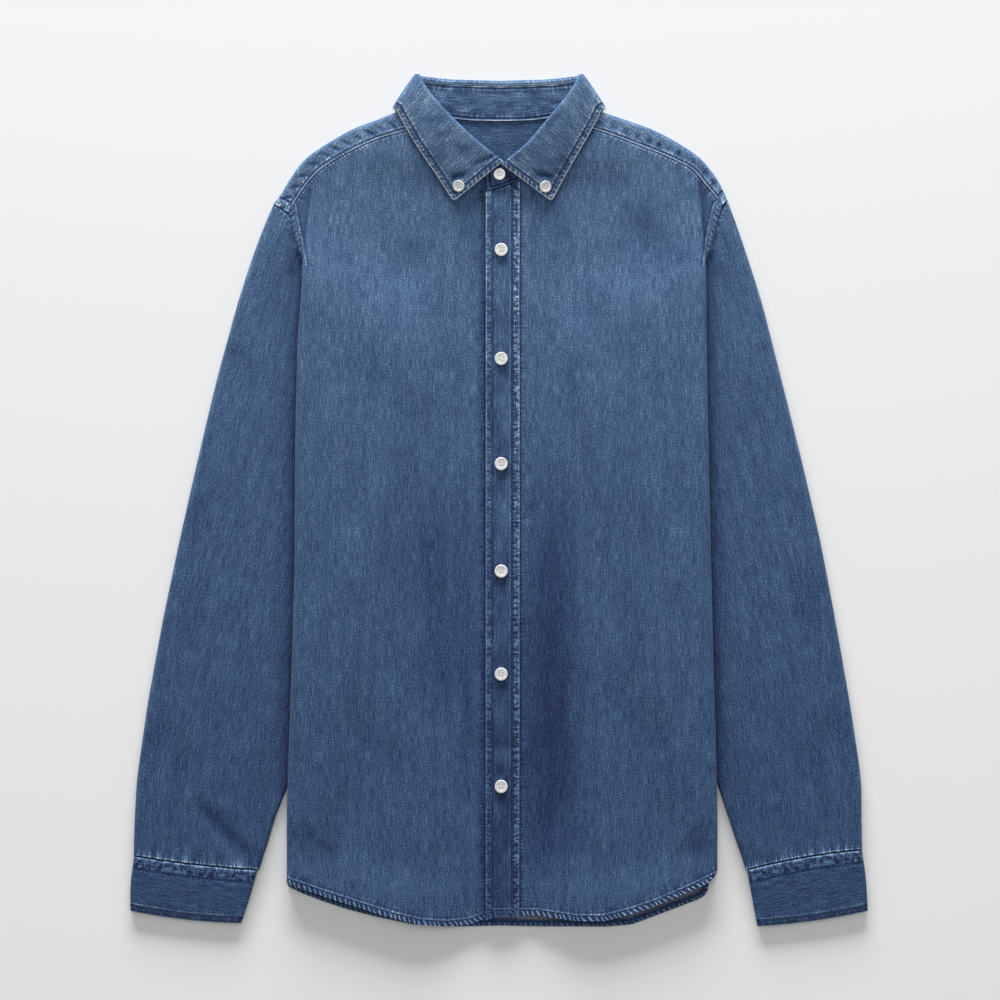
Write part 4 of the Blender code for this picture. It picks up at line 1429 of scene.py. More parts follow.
@dataclass
class BackPanel:
    """The back, outer face down: flat on the floor, over the tucked sleeves and under the fronts.

    Attributes:
        columns: Columns across.
        rows: Rows from the hem to the yoke.
        wall: Thickness.
        hem_depth: Width of the turned-up hem.
        hem_rows: Rows across the turned-up hem.
        hem_rise: From the inner face of the back to the outer face of its hem.
        turned: Cloth of the fronts that is turned under.
    """

    columns: int = 72
    rows: int = 130
    wall: float = 0.9
    hem_depth: float = 5.6
    hem_rows: int = 8
    hem_rise: float = 0.75
    turned: float = 14.0

    def half_width(self, y: Array, sign: Array) -> Array:
        """Distance from the middle to the back's edge: armhole above, side seam below.

        Args:
            y: Heights.
            sign: Below zero on the wearer's right, and above it on the left.

        Returns:
            A distance for each height.
        """
        widths = []
        for side in Side:
            turned = BODY_SIDE.at(side, y) - self.turned - LAY.air - LAY.seam
            turned = turned + side.pick(17.0, 12.0) * ease((-322.0 - y) / 18.0)
            widths.append(mix(turned, ARMHOLE.at(side, y) - LAY.seam / 2.0, opening(y)))
        return np.where(sign > 0, widths[1], widths[0])

    def build(self) -> ClothSheet:
        """Makes the back.

        Returns:
            Its sheet.
        """
        across = np.linspace(-1.0, 1.0, self.columns)
        hem = crossing(lambda y: across * self.half_width(y, across),
                       lambda x: np.interp(x, BACK_HEM[:, 0], BACK_HEM[:, 1]), *HEM_SEARCH, self.columns)
        y = mix(hem, BACK_SEAM_Y - LAY.seam, np.linspace(0.0, 1.0, self.rows)[:, None])
        x = across * self.half_width(y, across)
        points = np.stack([x, y, LAY.lower(x, y)], axis=-1)
        sheet = ClothSheet("back_cloth", points, (x + 200.0, y), seed=9, wall=self.wall, flip=True)
        sheet.mark(Seam(np.array(((-190.0, BACK_SEAM_Y), (190.0, BACK_SEAM_Y))), 1.5, block=0.0, gather=0.6,
                        worn=0.2, lift=0.0))
        sheet.mark(Seam(resample(BACK_HEM, 100), self.hem_depth, block=0.3, rope=1.0, worn=0.05, lift=0.0))
        return sheet

    def build_hem(self) -> ClothSheet:
        """Makes the strip of right-side cloth turned up along the hem.

        Returns:
            Its sheet, on the back's inner face.
        """
        line = resample(np.concatenate([((-195.2, -352.0),), BACK_HEM[2:-1]]), 170)
        depths = np.linspace(0.3, self.hem_depth + 0.6, self.hem_rows)[:, None]
        x, y = np.moveaxis(line + inward(line) * depths[..., None], -1, 0)
        crown = 0.35 * np.sin(np.linspace(0.0, 1.0, self.hem_rows) * math.pi)[:, None]
        z = LAY.lower(x, y) + self.wall + self.hem_rise + crown
        cloth = tuple(np.broadcast_arrays(lengths_along(line), depths))
        sheet = ClothSheet("back_hem", np.stack([x, y, z], axis=-1), cloth, seed=10, wall=0.6, lined=True)
        sheet.shade(0.03)
        sheet.mark(Seam(line, self.hem_depth - 0.8, block=0.3, rope=1.0, gather=0.0, worn=0.05, lift=0.0,
                        sewn=0.6))
        return sheet


@dataclass
class Placket:
    """The folded strip down the front's edge, stitched down near both its sides.

    Attributes:
        columns: Columns across.
        rows: Rows from the hem to the neck.
        wall: Thickness.
    """

    columns: int = 26
    rows: int = 260
    wall: float = 1.3

    PROUD = 1.8                     # its rise over the fronts
    TOPS = ((-12.2, 283.6), (-4.5, 286.2), (3.4, 288.8), (11.2, 291.0), (18.6, 292.6))      # slanting top
    EDGES = (-12.2, 18.6)
    # Rows of stitches: down both edges and across the hem.
    ROWS = (((-7.2, -372.5), (-7.2, 283.5)), ((12.2, -372.5), (12.2, 289.0)),
            ((-11.0, -374.5), (17.5, -374.5)))

    def build(self) -> ClothSheet:
        """Makes the placket.

        Returns:
            Its sheet.
        """
        tops, (left, right) = np.array(self.TOPS), self.EDGES
        # Columns stand closer at both edges, which are rounded.
        even = np.linspace(0.0, 1.0, self.columns)
        share = 0.5 * (0.5 - 0.5 * np.cos(even * math.pi)) + 0.5 * even
        x = mix(left, right, share[None] * np.ones((self.rows, 1)))
        bottom = front_hem(x) - 1.0
        top = np.interp(x, tops[:, 0], tops[:, 1]) - LAY.seam
        y = mix(bottom, top, np.linspace(0.0, 1.0, self.rows)[:, None])
        x = x + 0.3 * Unevenness(21).at(y / 60.0) * ease((x - left) / 4.0)
        rounded = 0.5 * np.exp(-(x - left) / 0.9) + 0.5 * np.exp(-(right - x) / 0.9)
        z = LAY.upper(x, y) + LAY.gap + self.PROUD - rounded
        points = np.stack([x, y, z], axis=-1)
        sheet = ClothSheet("placket_cloth", points, (x + 20.0, y), seed=5, wall=self.wall)
        sheet.shade(-0.035 + 0.09 * sheet.uneven.at(x / 7.0, y / 13.0))
        for edge_x, inset, sewn, block in ((left, 6.0, 0.45, 0.8), (right, 6.4, 0.95, 1.3)):
            path = np.array(((edge_x, y.min() - 5.0), (edge_x, y.max())))
            sheet.mark(Seam(path, inset, block=block, gather=0.15, worn=0.3, lift=0.16, pitch=7.0, reach=14.0,
                            sewn=sewn))
        low = np.array(((left - 1.0, -382.5), (right + 1.0, -382.0)))
        sheet.mark(Seam(low, 7.0, block=0.6, rope=0.5, worn=0.1, lift=0.15, reach=12.0, sewn=-0.8),
                   y < -360.0)
        # Painted shade along the placket's top, under the collar.
        sheet.mark(Seam(resample(tops, 30), 0.3, block=0.0, gather=1.5, worn=-0.3, lift=0.3, pitch=3.6,
                        reach=20.0, sewn=1.2), y > 262.0)
        sheet.shade(0.06 * ease((x - right + 6.0) / 2.0) - 0.05 * ease((-60.0 - y) / 200.0))
        for seam_x in (left + 6.8, right - 6.9):
            sheet.shade(-0.09 * bell(x, 1.5, seam_x))
        for button_y in Buttons.PLACKET_YS:
            self.pucker(sheet, button_y)
        return sheet

    @staticmethod
    def pucker(sheet: ClothSheet, button_y: float) -> None:
        """Draws the cloth in round a buttonhole, with painted shade in the hollows above and below the button
        and the button's painted shadow round it.

        Args:
            sheet: The placket's sheet.
            button_y: Height of the button.
        """
        x, y = sheet.points[..., 0] - Buttons.PLACKET_X, sheet.points[..., 1] - button_y
        ring = bell(np.hypot(x / 5.0, y / 11.0), 0.45, 1.0)
        sheet.lower(0.25 * ring)
        # Painted shade in the hollows, and the button's painted shadow on the cloth round it.
        sheet.shade(-0.045 * ring - 0.2 * ease((7.6 - np.hypot(x, y)) / 1.6))


# ---------- yoke


@dataclass
class Yoke:
    """The yoke: from the back's seam over both shoulders to the front seams, open at the neck.

    Attributes:
        columns: Columns from the armhole to the neck, on each shoulder.
        under: Rows on the lower layer.
        bend: Rows over the shoulder's fold.
        over: Rows on the upper layer.
        middle: Columns below the neck.
        wall: Thickness.
        hollow_pitch: Length of one of the hollows that the seam's stitches draw in.
    """

    columns: int = 120
    under: int = 22
    bend: int = 13
    over: int = 16
    middle: int = 70
    wall: float = 1.0
    hollow_pitch: float = 11.5

    def shoulder(self, side: Side) -> tuple[Array, tuple[Array, Array]]:
        """Points of one shoulder, a row for each column of cloth.

        Args:
            side: The wearer's side.

        Returns:
            Points, and the cloth's own coordinates.
        """
        sign = side.value
        folds, seams = (even_curve(table[side], self.columns) for table in (SHOULDER, YOKE_SEAM))
        part = np.linspace(0.0, 1.0, self.columns)[:, None]
        end = float(ARMHOLE.at(side, BACK_SEAM_Y)) - LAY.seam / 2.0
        back = np.concatenate([mix(end, folds[-1, 0], part), np.full_like(part, BACK_SEAM_Y)], axis=1)
        radius = LAY.cloth + LAY.air / 2.0
        low_end, high_end = (folds + run / np.linalg.norm(run, axis=1)[:, None] * radius
                             for run in (back - folds, seams - folds))
        middle = LAY.lower(sign * folds[:, 0], folds[:, 1]) + radius
        rows = []
        for share in np.linspace(0.0, 1.0, self.under + 1):
            spot = mix(back, low_end, share)
            rows.append((spot, LAY.lower(sign * spot[:, 0], spot[:, 1])))
        for angle in np.linspace(0.0, math.pi, self.bend + 2)[1:-1]:
            spot = low_end + (high_end - low_end) * angle / math.pi
            rows.append((mix(folds, spot, 1.0 - math.sin(angle)), middle - radius * math.cos(angle)))
        for share in np.linspace(0.0, 1.0, self.over):
            spot = mix(high_end, seams, share)
            rows.append((spot, LAY.upper(sign * spot[:, 0], spot[:, 1])))
        points = np.stack([np.column_stack([sign * spot[:, 0], spot[:, 1], z]) for spot, z in rows], axis=1)
        down = lengths_across(points)
        # The yoke is cut across the shirt, so its grain runs along the shoulder.
        return points, (down, np.broadcast_to(200.0 - 125.0 * part, down.shape) * sign)

    def build(self) -> list[ClothSheet]:
        """Makes the yoke.

        Returns:
            Sheets of both shoulders and of the middle, which share their edges.
        """
        sheets, edges = [], []
        for side in Side:
            points, cloth = self.shoulder(side)
            edges.append(points[-1, :self.under + 1].copy())
            sheet = ClothSheet("yoke_cloth", points, cloth, seed=30 + side.value, wall=self.wall,
                               flip=side is Side.LEFT, lined=True)
            turned = np.zeros(points.shape[:2], bool)
            turned[:, self.under + self.bend // 2:] = True
            seam = mirrored(even_curve(YOKE_SEAM[side], 80), side)
            armhole = mirrored((SHOULDER[side][0], YOKE_SEAM[side][0]), side)
            sheet.shade(0.09 + 0.15 * bell(plan_distance(points, armhole)[0], 7.0) * turned)
            sheet.mark(Seam(seam, 1.7, block=0.0, gather=0.4, worn=0.24, lift=0.45, pitch=6.0, reach=16.0,
                            sewn=0.75), turned)
            sheet.mark(Seam(armhole, 8.2, block=0.9, gather=0.6, worn=0.1, lift=0.3, pitch=6.0, reach=16.0),
                       turned)
            self.pucker(sheet, side, turned)
            sheets.append(sheet)
        right, left = edges
        x = mix(right[:, 0], left[:, 0], np.linspace(0.0, 1.0, self.middle)[:, None])
        neck = CollarLeaf.neck_back()
        top = np.interp(np.abs(x), neck[:, 0], neck[:, 1]) - LAY.seam / 2.0
        y = mix(BACK_SEAM_Y, top, np.linspace(0.0, 1.0, self.under + 1)[None])
        points = np.stack([x, y, LAY.lower(x, y)], axis=-1)
        points[0], points[-1] = right, left
        middle = ClothSheet("yoke_middle", points, (y, x + 90.0), seed=33, lined=True)
        # Painted shade under the standing collar.
        middle.shade(-0.175)
        return sheets + [middle]

    def pucker(self, sheet: ClothSheet, side: Side, turned: Array) -> None:
        """Presses a row of small hollows along the front seam, where its stitches draw the yoke in.

        Args:
            sheet: The shoulder's sheet.
            side: The wearer's side.
            turned: True on the upper layer.
        """
        rim, along = plan_distance(sheet.points, mirrored(even_curve(YOKE_SEAM[side], 160), side))
        uneven = Unevenness(40 + side.value)
        place = along / self.hollow_pitch + 0.35 * uneven.at(along / 30.0)
        down = rim - (7.0 + 1.2 * uneven.at(along / 17.0, 3.0))
        across = (place - np.round(place)) * self.hollow_pitch + side.pick(0.8, 0.0) * down
        depth = (0.75 + 0.25 * uneven.at(along / self.hollow_pitch, 7.0)) * turned
        wide, tall = side.pick((1.9, 4.0), (2.6, 2.7))
        hollow = depth * np.exp(-(across / wide) ** 2 - (down / tall) ** 2)
        sheet.lower(0.6 * hollow)
        # Painted shade in the hollows.
        sheet.shade(-0.42 * hollow)


# ---------- sleeves and cuffs


def pressed_loop(outer: Array, inner: Array, bow: Callable[[Array], Array],
                 height: Callable[[Array], Array], counts: tuple[int, int, int]) -> Array:
    """Loop round a pressed tube: over its top, round the inner edge, back along the floor, round the outer.

    Args:
        outer: Outer edge in plan.
        inner: Inner edge in plan.
        bow: How far the line between them bows in plan, for each share of the width from the outer edge.
        height: Height of the top at places in plan.
        counts: Points over the top, round an edge and along the floor.

    Returns:
        Points of the loop, its last the same as its first.
    """
    over, edge, under = counts

    def spot(share: Array) -> Array:
        """Place in plan at each share of the width."""
        return mix(outer, inner, share[:, None]) + bow(share)

    ends = height(spot(np.array((0.0, 1.0))))
    inset = ends / 2.0 / float(np.linalg.norm(inner - outer))
    top = spot(np.linspace(inset[0], 1.0 - inset[1], over))
    angles = np.linspace(0, math.pi, edge + 2)[1:-1]
    inner_out = inset[1] * (1.0 - np.sin(angles))
    outer_out = inset[0] * (1.0 - np.sin(angles[::-1]))
    back = np.linspace(1.0 - inset[1], inset[0], under)
    loop = np.concatenate([
        np.column_stack([top, height(top)]),
        np.column_stack([spot(1.0 - inner_out), ends[1] / 2.0 * (1.0 + np.cos(angles))]),
        np.column_stack([spot(back), np.zeros(under)]),
        np.column_stack([spot(outer_out), ends[0] / 2.0 * (1.0 + np.cos(angles[::-1]))])])
    return np.concatenate([loop, loop[:1]])


def sagging(depth: float, share: Array) -> Array:
    """Bow of a line across a tube towards the hand, in plan."""
    return np.column_stack([np.zeros(len(share)), -depth * 4.0 * share * (1.0 - share)])


@dataclass
class Sleeve:
    """A sleeve: a pressed tube from the armhole, under the body's side, to the cuff.

    Attributes:
        side: The wearer's side.
        creases: Its creases, apart from the seams' gathers.
        rows: Rows from the shoulder to the cuff.
        counts: Points over the top, round an edge and along the floor.
        length: Length of its cloth.
        cap_count: Points of the armhole's curve.
    """

    side: Side
    creases: tuple[Crease, ...]
    rows: int = 150
    counts: tuple[int, int, int] = (64, 7, 22)
    length: float = 520.0
    cap_count: int = 81

    TUCKS = ((262.0, -1.4), (250.0, -1.8), (238.0, -1.8), (226.0, -3.5), (214.0, -9.0))

    def cap(self) -> Array:
        """Armhole's curve from the shoulder to below the arm, by distances from the middle.

        Returns:
            One row for each point.
        """
        shoulder = SHOULDER[self.side][0]
        cap = [(shoulder[0] - 0.6, shoulder[1] + 0.8)]
        cap += [(float(ARMHOLE.at(self.side, y)) + tuck, y) for y, tuck in self.TUCKS]
        cap += [(self.side.pick(162.0, 173.0), 201.0),
                (SLEEVE_INNER.rows[0][self.side.pick(1, 2)], SLEEVE_TOP_Y)]
        return even_curve(cap, self.cap_count)

    def build(self) -> ClothSheet:
        """Makes the sleeve.

        Returns:
            Its sheet.
        """
        side, sign, cap = self.side, self.side.value, self.cap()
        cuff = Cuff.CORNERS[side][0]
        places = np.linspace(0.0, 1.0, self.cap_count)
        bow_path = cap - mix(cap[0], cap[-1], places[:, None])
        runs = np.linspace(0.0, 1.0, self.rows) ** 1.1
        points = []
        for run in runs:
            outer_y = mix(cap[0, 1], cuff[1] + LAY.seam, run)
            inner_y = mix(SLEEVE_TOP_Y, cuff[3] + LAY.seam, run)
            outer = np.array((float(SLEEVE_OUTER.at(side, outer_y)), outer_y))
            inner = np.array((float(SLEEVE_INNER.at(side, inner_y)), inner_y))

            def bow(share: Array) -> Array:
                """Towards the armhole's curve near the cap, and the cuff's seam near the cuff."""
                return (read_columns(share, places, bow_path) * (1.0 - run) ** 4
                        + sagging(cuff[4] * run ** 8, share))

            points.append(pressed_loop(mix(cap[0], outer, ease(run * 12.0)), inner, bow,
                                       lambda p: LAY.sleeve_top(side, sign * p[:, 0], p[:, 1]), self.counts))
        points = np.array(points)
        points[..., 0] *= sign
        around = lengths_across(points)
        down = np.broadcast_to(-self.length * runs[:, None], around.shape)
        sheet = ClothSheet("sleeve_%s_cloth" % side.word, points, (around, down), seed=50 + sign,
                           flip=side is Side.RIGHT, closed=True)
        upper = np.zeros(points.shape[:2], bool)
        upper[:, :self.counts[0] + 3] = True
        upper[:, -3:] = True
        self.dress(sheet, upper, mirrored(cap, side))
        return sheet

    def dress(self, sheet: ClothSheet, upper: Array, cap: Array) -> None:
        """Marks the sleeve's seams and creases.

        Args:
            sheet: The sheet.
            upper: True on the upper face.
            cap: The armhole seam.
        """
        side, cuff_seam = self.side, Cuff.line(self.side, 0)
        sheet.press(self.creases, 0.06, upper)
        # Negative edge values paint shade along the armhole and cuff seams.
        sheet.mark(Seam(cap, 1.6, block=0.0, gather=0.8, worn=-0.3, pitch=7.0, reach=20.0, sewn=0.8), upper)
        sheet.mark(Seam(cuff_seam, 0.3, block=0.0, gather=1.5, worn=-0.3, lift=0.5, pitch=3.6, sewn=1.5),
                   upper)
        # The tucks above the cuff are rubbed pale.
        sheet.shade(0.13 * bell(plan_distance(sheet.points, cuff_seam)[0], 3.4, 2.8) * upper)
        # Painted shadow of the body on the sleeve beside it.
        beside = np.abs(sheet.points[..., 0]) - BODY_SIDE.at(side, sheet.points[..., 1])
        sheet.shade(-0.27 * np.exp(-np.maximum(beside, 0.0) / 7.0) * upper)
        # The pressed outer edge is rubbed.
        y = np.linspace(250, -320, 60)
        edge = np.column_stack([SLEEVE_OUTER.at(side, y) * side.value, y])
        sheet.shade(0.05 * bell(plan_distance(sheet.points, edge)[0], 3.5))


@dataclass
class Cuff:
    """A cuff: a doubled band, pressed flat, its grain running round the wrist.

    Attributes:
        side: The wearer's side.
        rows: Rows from its seam to its open edge.
        counts: Points over the top, round an edge and along the floor.
        wall: Thickness.
        full: Height of the band at its seam.
        depth: Length of its cloth from the seam to the open edge.
    """

    side: Side
    rows: int = 52
    counts: tuple[int, int, int] = (76, 7, 24)
    wall: float = 1.5
    full: float = 7.0
    depth: float = 50.0

    # Outer and inner corners, and the bow between them, of the seam, the middle and the open edge.
    CORNERS = {
        Side.RIGHT: ((335.5, -327.2, 222, -340, 1.5), (338.6, -352, 229, -364.5, 2.0),
                     (338.9, -377, 237, -388.4, 2.4)),
        Side.LEFT: ((333.6, -321.7, 228, -340, -2.5), (337.2, -349, 232.5, -365.5, -0.5),
                    (338.9, -377, 237.3, -391.2, 2.2)),
    }

    @classmethod
    def line(cls, side: Side, row: int) -> Array:
        """Line across the cuff, bowed towards the hand: 0 is its seam and 2 its open edge.

        Args:
            side: The wearer's side.
            row: Number of the line.

        Returns:
            Its points in plan.
        """
        outer, inner, bow = np.split(np.array(cls.CORNERS[side][row], float), (2, 4))
        share = np.linspace(0.0, 1.0, 40)
        return mirrored(mix(outer, inner, share[:, None]) + sagging(bow[0], share), side)

    def build(self) -> ClothSheet:
        """Makes the cuff.

        Returns:
            Its sheet.
        """
        side, points = self.side, []
        for down, row in zip(np.linspace(0.0, 1.0, self.rows), smooth_rows(self.CORNERS[side], self.rows)):
            height = self.full * (1.0 - 0.3 * down)
            points.append(pressed_loop(row[:2], row[2:4], lambda share: sagging(row[4], share),
                                       lambda p: np.full(len(p), height), self.counts))
        points = np.array(points)
        points[..., 0] *= side.value
        around = lengths_across(points)
        down = np.broadcast_to(np.linspace(0.0, self.depth, self.rows)[:, None], around.shape)
        sheet = ClothSheet("cuff_%s_cloth" % side.word, points, (down, around), seed=60 + side.value,
                           wall=self.wall, flip=side is Side.RIGHT, closed=True, lined=True)
        sheet.shade(-0.015)
        upper = points[..., 2] > self.full * 0.3
        seam, edge = self.line(side, 0), self.line(side, 2)
        sheet.mark(Seam(seam, 10.5, block=1.25, gather=0.3, worn=0.45, lift=0.2, pitch=6.0, reach=20.0,
                        sewn=0.14, widens=1.0), upper)
        sheet.mark(Seam(edge, 5.0, block=0.7, gather=0.4, worn=0.14, pitch=8.0, reach=16.0, sewn=1.3), upper)
        # The band stands a little proud between its seams, and its edges roll down.
        from_seam = plan_distance(points, seam)[0]
        sheet.lower(0.9 * np.exp(-np.minimum(from_seam, plan_distance(points, edge)[0]) / 1.1) * upper)
        crease = bell(from_seam, 1.6, 12.0 + 1.2 * sheet.uneven.at(points[..., 0] / 24.0))
        sheet.lower(0.35 * crease * upper)
        # Painted shade in the crease.
        sheet.shade(-0.06 * crease)
        return sheet


# ---------- collar


@dataclass
class CollarLeaf:
    """The collar leaf: turned over the stand, with its two points on the fronts.

    Attributes:
        stations: Stations from one point round the neck to the other.
        across: Points across the leaf.
        wall: Thickness.
        roll: Radius of the fold at its top.
        below_roll: From the roll's edge to the leaf's inner seam.
        crown: Fullness of the leaf.
        blunt: Reach of the rounding at its two points.
        shown: Share of the points across that lie before the roll.
    """

    stations: int = 330
    across: int = 44
    wall: float = 1.4
    roll: float = 2.8
    below_roll: float = 5.0
    crown: float = 0.8
    blunt: float = 2.0
    shown: float = 0.66

    CREASES = (
        Crease((-29, 305.5), (-1, 317.5), 1.2, 0.8), Crease((-44, 329), (-25, 321), 2.2, 0.35, 2),
        Crease((-42, 320), (-26, 313), 2.4, 0.3, -2), Crease((-76, 347), (-48, 351), 3.0, 0.28, 2),
        Crease((-62, 336), (-40, 338), 2.6, 0.28, 2), Crease((58, 356), (42, 334), 3.0, 0.22, 2),
        Crease((18, 318), (15, 309), 2.2, 0.35), Crease((-47, 295.5), (-28, 299), 2.6, 0.9),
        Crease((31, 299.5), (52, 296.5), 2.6, 0.8))
    # Half of the collar on each side, from its point to the side of the neck: outer edge of the leaf,
    # top and height of the roll, neck seam.
    FRONT_ROWS = {
        Side.RIGHT: ((42, 274, -4.2, 311.2, 11.6, 13, 292.5), (58, 299.0, 22.2, 332, 14.5, 32, 309.5),
                     (74, 322.5, 45.0, 353.8, 16.0, 50, 329.5), (86, 342.5, 62.3, 373, 15.6, 65, 346.5),
                     (93.8, 357, 73.2, 389.6, 14.0, 77, 364)),
        Side.LEFT: ((48.3, 274, 1.8, 308.6, 11.0, 19.5, 294.5), (61.5, 299.0, 25.0, 327.5, 14.5, 34, 310.5),
                    (75, 322.5, 46.0, 352, 16.0, 51, 330.5), (86.5, 342.5, 63, 372.6, 15.6, 66, 347.5),
                    (93.8, 357, 73.2, 389.6, 14.0, 77, 364)),
    }
    # The half behind the neck lies on the floor.
    BACK_ROWS = ((93.8, 357, 73.2, 390.2, 0, 77, 363), (66, 349.5, 50, 387.3, 0, 56, 353.5),
                 (34, 345, 26, 386.2, 0, 30, 348.8), (0, 343.5, 0, 385.6, 0, 0, 348.0))

    @classmethod
    def neck_front(cls, side: Side) -> Array:
        """Neck seam in plan, from the front's end to the side of the neck, by distances from the middle."""
        return smooth_rows(cls.FRONT_ROWS[side], 40)[:, 5:7]

    @classmethod
    def neck_back(cls) -> Array:
        """Neck seam behind the neck in plan, from the middle outwards."""
        return smooth_rows(cls.BACK_ROWS, 50)[::-1, 5:7]

    def section(self, row: Array, side: Side, front: bool) -> Array:
        """Leaf across one station, on its outer face: outer edge, over the roll, to the inner seam.

        Args:
            row: The station's row.
            side: The wearer's side.
            front: True in front of the neck.

        Returns:
            Ten points.
        """
        edge, roll = row[:2], row[2:4]
        width = float(np.linalg.norm(edge - roll))
        low, high, crown, turn = 0.0, 0.0, 0.0, 1.0
        if front:
            low = float(LAY.upper(side.value * edge[0], edge[1])) + LAY.gap + LAY.doubled
            high, crown, turn = row[4], self.crown, -1.0
        spots = [(width * share, mix(low, high, 1.0 - share) + crown * 4.0 * share * (1.0 - share))
                 for share in (1.0, 0.75, 0.5, 0.28)]
        spots += [(self.roll * (1.0 - math.sin(angle)), high + turn * self.roll * (1.0 - math.cos(angle)))
                  for angle in np.radians((0.0, 45.0, 90.0, 135.0, 180.0))]
        spots.append((self.below_roll, high + turn * 2.0 * self.roll))
        distances, heights = np.array(spots).T
        places = roll + (edge - roll) / width * distances[:, None]
        return np.column_stack([side.value * places[:, 0], places[:, 1], heights])

    def build(self) -> ClothSheet:
        """Makes the leaf.

        Returns:
            Its sheet.
        """
        runs = collar_run(self.section)
        places = np.linspace(0.0, len(runs) - 1.0, self.stations)
        share = np.linspace(0.0, 1.0, self.across)
        # Points stand closer at both edges.
        share = 0.55 * share + 0.45 * (1.0 - np.cos(share * math.pi)) / 2.0
        points = fine_grid(runs, places, (runs.shape[1] - 1) * share)
        # The points are blunt, as corners turned inside out are.
        for tip, inner in ((points[0, 0], points[12, 12]), (points[-1, 0], points[-13, 12])):
            run = (inner - tip) / np.linalg.norm(inner - tip)
            near = np.exp(-np.sum((points - tip) ** 2, axis=-1, keepdims=True) / self.blunt ** 2)
            points = points + 0.75 * self.blunt * near * run
        down = lengths_across(points)
        length = lengths_along(points[:, self.across // 3])[:, None] + np.zeros_like(down)
        # The leaf's grain runs down its width.
        sheet = ClothSheet("collar_leaf", points, (length, down), seed=71, wall=self.wall, lined=True)
        sheet.shade(0.065)
        middle = (len(runs) - 1) / 2.0
        from_middle = places[:, None] - middle + np.zeros_like(down)
        reach = middle - COLLAR_FRONT_STEPS - 1.5
        self.dress(sheet, from_middle < -reach, Side.RIGHT)
        self.dress(sheet, from_middle > reach, Side.LEFT)
        sheet.mark(Seam(points[:, 0, :2], gather=0.4, worn=0.3, lift=0.0), np.abs(from_middle) <= reach,
                   place=(down, length))
        sheet.mark(Seam(points[:, -1, :2], 0.8, block=0.0, gather=0.6, worn=0.2, lift=0.0, reach=7.0,
                        sewn=0.4), place=(down.max(axis=1, keepdims=True) - down, length))
        sheet.shade(0.07 * sheet.uneven.at(length / 15.0, down / 8.0))
        sheet.press(self.CREASES, 0.5, (np.abs(from_middle) > reach) & self.shows())
        return sheet

    def shows(self) -> Array:
        """True at the points across that lie before the roll."""
        return np.arange(self.across) < self.across * self.shown

    def dress(self, sheet: ClothSheet, half: Array, side: Side) -> None:
        """Marks one front half: its outer edge, its front edge, its rubbed point and its roll line.

        Args:
            sheet: The leaf's sheet.
            half: True at its stations.
            side: The wearer's side.
        """
        points, upper = sheet.points, half & self.shows()
        edge = points[::side.pick(1, -1)][:86, 0, :2]
        front = points[side.pick(0, -1), :int(self.across * 0.62), :2]
        sheet.mark(Seam(edge, 5.4, block=0.6, rope=0.6, worn=0.55, lift=0.28, pitch=7.0, reach=20.0), upper)
        sheet.mark(Seam(front, 5.2, block=0.4, rope=side.pick(-0.75, -1.0), worn=0.45, lift=0.28, pitch=6.0,
                        reach=16.0), upper)
        rim = np.minimum(plan_distance(points, edge)[0], plan_distance(points, front)[0])
        sheet.lower((0.85 * np.exp(-rim) + 0.25 * bell(rim, 1.0, 5.4)) * upper)
        # The point itself is rubbed palest.
        tip = np.hypot(points[..., 0] - edge[0, 0], points[..., 1] - edge[0, 1])
        sheet.shade(0.24 * bell(tip, 6.5) * upper)
        # Painted shade along the roll line, against the key light's glare on it.
        sheet.shade(-0.13 * bell(np.arange(self.across) / self.across, 0.07, 0.64) * half)


COLLAR_FRONT_STEPS, COLLAR_BACK_STEPS = 8, 5
NECK_CORNER = np.array((0.806, 0.592, 0.0))     # way out from the side of the neck


def collar_run(section: Callable[[Array, Side, bool], Array]) -> Array:
    """All sections of a collar piece, from the wearer's right point round the neck to the left.

    Args:
        section: Gives one section for a row, a side and whether it is in front of the neck.

    Returns:
        Sections by points by x, y and z.
    """
    halves = {}
    for side in Side:
        fronts, backs = ([section(row, side, front) for row in smooth_rows(rows, steps + 1)]
                         for rows, steps, front in ((CollarLeaf.FRONT_ROWS[side], COLLAR_FRONT_STEPS, True),
                                                    (CollarLeaf.BACK_ROWS, COLLAR_BACK_STEPS, False)))
        outward = mirrored(NECK_CORNER[None], side)
        high, low = fronts[-1], backs[0]
        radius = (high[:, 2] - low[:, 2]) / 2.0
        wraps = []
        for angle in np.radians((36.0, 72.0, 108.0, 144.0)):
            spot = mix(high, low, angle / math.pi)
            spot[:, 2] = (high[:, 2] + low[:, 2]) / 2.0 + radius * math.cos(angle)
            bulge = np.abs(radius) * np.linspace(1.0, 0.15, len(radius)) * math.sin(angle)
            wraps.append(spot + outward * bulge[:, None])
        halves[side] = fronts + wraps + backs
    return np.array(halves[Side.RIGHT][:-1] + halves[Side.LEFT][::-1])


